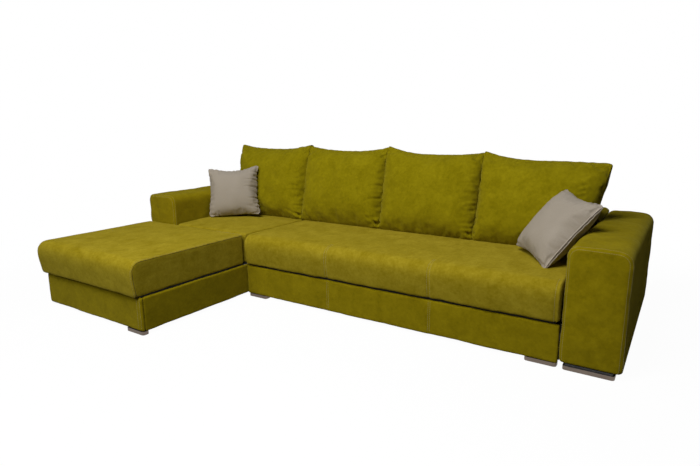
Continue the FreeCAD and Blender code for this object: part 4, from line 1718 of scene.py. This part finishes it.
@dataclass
class ThrowPillow:
    """One square knife-edge pillow."""

    side: str
    centre: Point
    across: Point
    upward: Point
    size: float
    draw: tuple[float, float, float, float]
    seed: int
    zipped: bool
    busy: tuple[int, int] = (0, 1)
    thick: float = 0.150
    filling: Filling = Filling(2.5, 0.008, -0.03, 0.3)
    edge_swell: float = 0.004
    edge_zone: Range = (0.0, 0.02)
    seam: float = 0.007
    blunt: float = 0.014
    squares: int = 48
    cord_radius: float = 0.0022
    corner_folds: Folds = Folds((0.05, 0.12), (0.0015, 0.003), (0.006, 0.010), lean=(-0.1, 0.1))
    seam_folds: Folds = Folds((0.03, 0.075), (0.0012, 0.0030), (0.005, 0.009), (0.12, 0.30), (-0.02, 0.02))

    def build(self, finishes: Wardrobe, neighbours: Sequence[BVHTree]) -> None:
        """Make the pillow.

        Args:
            finishes: The sofa's materials.
            neighbours: What it leans on.
        """
        node = "pillow_" + self.side
        low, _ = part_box(node)
        form = CaseForm(node + "_soft", node, self.squares, self.squares)
        across, upward, side, seam = form.layout()
        corner = np.full(len(across), self.blunt / (self.size / 2))
        across, upward = rounded(across, upward, corner, corner)
        form.set_out(self._place(across, upward, side * self._half(across, upward)))
        form.fill(self.filling, seam)
        form.divide()
        points = form.points()
        local = (points - np.array(self.centre)) @ self._axes().T
        form.push(self._folds(local[:, :2]) + waves(points, 0.11, 95) * 0.0022)
        points = form.points()
        points[:, 2] = np.maximum(points[:, 2], low[2])
        form.move_to(points)
        form.press_clear(neighbours)
        form.finish(finishes.pillow, "pillow_body_" + self.side, Slot.PILLOW, 0.75)
        if self.zipped:
            self._zip(form.tree(), finishes)

    def _axes(self) -> Array:
        """Return the pillow's three directions as rows.

        Returns:
            The directions across, up and out.
        """
        across = np.array(self.across) / np.linalg.norm(self.across)
        upward = np.array(self.upward) / np.linalg.norm(self.upward)
        return np.stack([across, upward, np.cross(across, upward)])

    def _half(self, across: Array, upward: Array) -> Array:
        """Return half the thickness at each place.

        Args:
            across: Places from -1 to 1.
            upward: Places from -1 to 1.

        Returns:
            Half the thickness in metres.
        """
        wide, tall = (np.maximum(0.0, 1 - np.abs(way) ** 2.4) for way in (across, upward))
        edge = np.minimum(1 - np.abs(across), 1 - np.abs(upward)) * self.size / 2
        return (self.seam / 2 + (self.thick - self.seam) / 2 * (wide * tall) ** 0.55
                + self.edge_swell * ramp(edge, *self.edge_zone))

    def _place(self, across: Array, upward: Array, depth: Array) -> Array:
        """Return the places of points of the case, with the sides drawn in between the corners.

        Args:
            across: Places from -1 to 1.
            upward: Places from -1 to 1.
            depth: Metres out of the pillow's plane.

        Returns:
            N by 3 places.
        """
        half = self.size / 2
        left, right, lower, upper = self.draw
        side = left + (right - left) * (across + 1) / 2
        height = lower + (upper - lower) * (upward + 1) / 2
        a = across * half * (1 - side * (1 - np.abs(upward) ** 1.8))
        b = upward * half * (1 - height * (1 - np.abs(across) ** 1.8))
        return np.array(self.centre) + np.stack([a, b, depth], axis=1) @ self._axes()

    def _folds(self, flat: Array) -> Array:
        """Return the height of the folds at the corners and along the seams.

        Args:
            flat: N by 2 places on the plane.

        Returns:
            N heights.
        """
        half = self.size / 2
        dice = np.random.default_rng(self.seed)
        height = np.zeros(len(flat))
        kind = self.corner_folds
        for corner in ((-1, -1), (-1, 1), (1, -1), (1, 1)):
            for angle in (0.3, 0.62, 0.95, 1.25):
                turn = angle + dice.uniform(*kind.lean)
                length = dice.uniform(*kind.length)
                start = (corner[0] * half * 0.96, corner[1] * half * 0.96)
                end = (start[0] - corner[0] * length * math.cos(turn),
                       start[1] - corner[1] * length * math.sin(turn))
                fold = Crease((start, end), dice.uniform(*kind.depth), dice.uniform(*kind.width))
                height += fold.height(flat)
        kind = self.seam_folds
        for way, sign in ((0, -1), (0, 1), (1, -1), (1, 1)):
            at = -0.75
            while at < 0.75:
                length = dice.uniform(*kind.length)
                rim = half * (1 - self.draw[2 * way + (sign + 1) // 2] * (1 - at * at))
                start = [at * half, at * half]
                end = [at * half + dice.uniform(*kind.lean)] * 2
                start[way] = sign * rim
                end[way] = sign * (rim - length)
                depth = dice.uniform(*kind.depth)
                if (way, sign) == self.busy:
                    depth *= 2.0
                    end[way] = sign * (rim - 1.4 * length)
                fold = Crease((tuple(start), tuple(end)), depth, dice.uniform(*kind.width))
                height += fold.height(flat)
                at += dice.uniform(*kind.pace)
        return height

    def _zip(self, surface: BVHTree, finishes: Wardrobe) -> None:
        """Sew the zip and its two corded edges along the lower side.

        Args:
            surface: The surface that carries it.
            finishes: The sofa's materials.
        """
        count = 60
        body = "pillow_body_" + self.side
        rows = {}
        for name, depth in (("front", 0.0075), ("back", -0.0055), ("teeth", 0.001)):
            rows[name] = []
            for place in self._place(np.linspace(-0.95, 0.95, count), np.full(count, -1.0),
                                     np.full(count, depth)):
                spot, normal, _, _ = surface.find_nearest(Vector(place), 0.05)
                rows[name].append(spot + normal * 0.0006 if spot is not None else Vector(place))
        for name in ("front", "back"):
            cord("pillow_%s_cord_%s" % (self.side, name), rows[name], self.cord_radius,
                 finishes.pillow_thread, body)
        needle = Needle("pillow_%s_zip_teeth" % self.side, body, finishes.zip_teeth)
        needle.sew(rows["teeth"], surface, 0.0075)
        needle.finish()


@dataclass
class Feet:
    """Bent flat metal loops under the base, with a dark block between each loop and the base."""

    loop: float = 0.021
    wall: float = 0.006
    dip: float = 0.012
    rim: float = 0.0012
    round: float = 0.015
    block_round: float = 0.007
    block_gap: float = 0.002
    block_foot: float = 0.0085
    nodes: tuple[str, ...] = ("chaise_foot_left", "chaise_foot_right", "right_arm_foot", "rear_foot_left",
                              "rear_foot_right", "seat_foot_left", "seat_foot_right")

    def build(self, finishes: Wardrobe) -> None:
        """Make every foot: the open loop and the block inside it.

        Args:
            finishes: The sofa's materials.
        """
        for node in self.nodes:
            body = (Body.SEAT if node.startswith("seat") else Body.FRAME).value
            low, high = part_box(node)
            ring = block(node + "_loop", low, (high[0], high[1], low[2] + self.loop), self.round, 7, True)
            with sculpting(ring.data) as shape:
                self._hollow(shape)
            dress(ring, finishes.foot, body)
            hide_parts(node)
            step = self.wall + self.block_gap
            inner = block(node + "_block", (low[0] + step, low[1] + step, low[2] + self.block_foot),
                          (high[0] - step, high[1] - step, high[2]), self.block_round, 7, True)
            dress(inner, finishes.plastic, body)

    def _hollow(self, shape: bmesh.types.BMesh) -> None:
        """Sink the middle of a foot's top and ease its level edges.

        Args:
            shape: The foot's open mesh.
        """
        top = max(shape.faces, key=lambda face: face.calc_center_median().z + face.normal.z)
        bmesh.ops.inset_region(shape, faces=[top], thickness=self.wall, depth=0.0)
        bmesh.ops.translate(shape, verts=top.verts, vec=(0.0, 0.0, -self.dip))
        bmesh.ops.bevel(shape, geom=[edge for edge in shape.edges if level(edge)], offset=self.rim,
                        segments=2, affect="EDGES", profile=0.5, material=-1)
        bmesh.ops.recalc_face_normals(shape, faces=shape.faces)


class Carcass:
    """The rigid pieces, which keep their own meshes and get finishes."""

    def build(self, finishes: Wardrobe) -> None:
        """Dress every rigid node.

        Args:
            finishes: The sofa's materials.
        """
        for name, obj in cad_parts.items():
            material = self._finish_for(name, finishes)
            if obj.material_slots:
                for place in obj.material_slots:
                    place.material = material
            else:
                obj.data.materials.append(material)

    def _finish_for(self, name: str, finishes: Wardrobe) -> Material:
        """Return the finish that goes with a node's name.

        Args:
            name: The node.
            finishes: The sofa's materials.

        Returns:
            The finish.
        """
        for starts, material in (
                # Near-black boards under the pads: painted shade in the gap below each pad.
                (("chaise_lid_board", "corner_seat_board"), finishes.shade_lining),
                (("platform_slats", "seat_slats"), finishes.slat_wood),
                (("wheel_",), finishes.plastic),
                (("chaise_foot", "seat_foot", "right_arm_foot", "rear_foot"), finishes.foot),
                (("lift_", "lid_bracket", "slide_channel", "seat_side_frame", "seat_rear_beam",
                  "seat_centre_rail"), finishes.steel)):
            if name.startswith(starts):
                return material
        return finishes.panel_wood


# Studio


@dataclass(frozen=True)
class Viewpoint:
    """The photograph's camera."""

    place: Point = (1.755, -2.649, 1.138)
    focal_px: float = 519.3
    image_width: float = 700.0
    sensor: float = 36.0
    yaw: float = math.radians(-33.04)
    pitch: float = math.radians(12.02)
    roll: float = math.radians(-0.30)

    def build(self) -> None:
        """Set up the camera."""
        ahead = Vector((math.sin(self.yaw) * math.cos(self.pitch), math.cos(self.yaw) * math.cos(self.pitch),
                        -math.sin(self.pitch)))
        right = Vector((math.cos(self.yaw), -math.sin(self.yaw), 0.0))
        up = right.cross(ahead)
        turned = math.cos(self.roll) * right + math.sin(self.roll) * up
        raised = -math.sin(self.roll) * right + math.cos(self.roll) * up
        data = bpy.data.cameras.new("photo_camera")
        data.sensor_fit = "HORIZONTAL"
        data.sensor_width = self.sensor
        data.lens = self.focal_px * self.sensor / self.image_width
        data.clip_end = 60.0
        camera = add_object("photo_camera", data)
        turn = Matrix((turned, raised, -ahead)).transposed().to_4x4()
        camera.matrix_world = Matrix.Translation(self.place) @ turn
        bpy.context.scene.camera = camera


@dataclass(frozen=True)
class SoftLamp:
    """A large square lamp aimed at the sofa."""

    name: str
    place: Point
    size: float
    power: float
    target: Point = (0.0, 0.0, 0.4)

    def build(self) -> None:
        """Hang the lamp."""
        data = bpy.data.lights.new(self.name, "AREA")
        data.shape = "SQUARE"
        data.size = self.size
        data.energy = self.power
        lamp = add_object(self.name, data)
        lamp.location = self.place
        aim = Vector(self.target) - Vector(self.place)
        lamp.rotation_euler = aim.to_track_quat("-Z", "Y").to_euler()


class Studio:
    """Floor, lamps, world and colour settings."""

    LAMPS = (
        SoftLamp("key_lamp", (0.4, -2.4, 3.9), 1.6, 128.0),
        SoftLamp("front_lamp", (-0.9, -3.7, 3.2), 2.0, 54.0),
        SoftLamp("left_lamp", (-1.4, -1.1, 3.8), 1.6, 8.0),
    )
    WHITE = (1.0, 1.0, 1.0, 1.0)
    FLOOR_GREY = (0.20, 0.20, 0.20, 1.0)
    FLOOR_SIZE = 30.0
    FADE = (0.3, 2.2)
    UNDER = (-0.16, -0.07)
    ROOM_LIGHT = 0.012

    def build(self) -> None:
        """Set the whole studio up."""
        self._floor()
        self._world()
        for lamp in self.LAMPS:
            lamp.build()
        bpy.context.scene.view_settings.view_transform = "Standard"

    def _seen(self, sheet: NodeSheet) -> Socket:
        """Return 1 for what the camera, gloss and glass see.

        Args:
            sheet: The node tree.

        Returns:
            The share.
        """
        camera, gloss, glass = (sheet.add("LightPath", "Is %s Ray" % kind, {})
                                for kind in ("Camera", "Glossy", "Transmission"))
        return sheet.math("MAXIMUM", sheet.math("MAXIMUM", camera, gloss), glass)

    def _away(self, sheet: NodeSheet) -> Socket:
        """Return how far a floor point lies outside the sofa's L-shaped footprint, below 0 under it.

        Args:
            sheet: The node tree.

        Returns:
            The distance in metres.
        """
        low, high = CAD_BOX
        _, chaise_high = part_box("chaise_front_panel")
        seat_low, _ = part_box("seat_front_panel")
        x, y = (sheet.add("SeparateXYZ", axis, {0: sheet.place()}) for axis in (0, 1))
        past = []
        for axis, value in enumerate((x, y)):
            off = sheet.math("ABSOLUTE", sheet.math("SUBTRACT", value, (low[axis] + high[axis]) / 2))
            past.append(sheet.math("SUBTRACT", off, (high[axis] - low[axis]) / 2))
        notch = sheet.math("MINIMUM", sheet.math("SUBTRACT", x, chaise_high[0]),
                           sheet.math("SUBTRACT", seat_low[1], y))
        return sheet.math("MAXIMUM", sheet.math("MAXIMUM", *past), notch)

    def _floor(self) -> None:
        """Lay the pale floor, which keeps the sofa's shadow."""
        mesh = bpy.data.meshes.new("studio_floor")
        with sculpting(mesh) as shape:
            bmesh.ops.create_grid(shape, x_segments=1, y_segments=1, size=self.FLOOR_SIZE)
        floor = add_object("studio_floor", mesh)
        material = bpy.data.materials.new("floor_paper")
        sheet = NodeSheet(material)
        away = self._away(sheet)
        matte = sheet.add("BsdfDiffuse", 0, {"Color": self.FLOOR_GREY})
        strength, near, under = (sheet.span(away, *reach, start, 1.0, "SMOOTHSTEP") for reach, start in
                                 ((self.FADE, 1.12), (self.FADE, 0.87), (self.UNDER, 0.10)))
        glow = sheet.add("Emission", 0, {"Color": self.WHITE, "Strength": strength})
        white = sheet.math("MULTIPLY", near, under)
        part = sheet.math("MULTIPLY", self._seen(sheet), white)
        paper = sheet.add("MixShader", 0, {0: part, 1: matte, 2: glow})
        sheet.add("OutputMaterial", None, {"Surface": paper})
        mesh.materials.append(material)

    def _world(self) -> None:
        """Light the room softly and show white behind the sofa."""
        world = bpy.data.worlds.new("studio_world")
        bpy.context.scene.world = world
        sheet = NodeSheet(world)
        strength = sheet.span(self._seen(sheet), 0.0, 1.0, self.ROOM_LIGHT, 1.0)
        back = sheet.add("Background", 0, {"Color": self.WHITE, "Strength": strength})
        sheet.add("OutputWorld", None, {"Surface": back})


PILLOWS = (
    ThrowPillow("left", from_plan(419.0, 1256.0, 623.0), (0.795, 0.602, 0.048), (-0.257, 0.268, 0.930),
                0.392, (0.08, 0.11, 0.04, 0.185), 90, False),
    ThrowPillow("right", from_plan(2803.0, 1228.0, 594.0), (0.547, 0.314, 0.775), (-0.576, 0.813, 0.079),
                0.417, (0.10, 0.12, 0.08, 0.12), 91, True),
)


def main() -> None:
    """Dress the sofa and set the studio up."""
    logging.basicConfig(level=logging.INFO, format="%(name)s %(message)s")
    Viewpoint().build()
    Studio().build()
    finishes = Wardrobe()
    Carcass().build(finishes)
    SeatPads().build(finishes)
    Feet().build(finishes)
    Arms().build(finishes)
    BaseCovers().build(finishes)
    cushions = BackCushions().build(finishes)
    for pillow, cushion in zip(PILLOWS, (cushions[0], cushions[3])):
        pillow.build(finishes, [cushion, node_tree(pillow.side + "_arm_cover")])


if __name__ == "__main__":
    main()
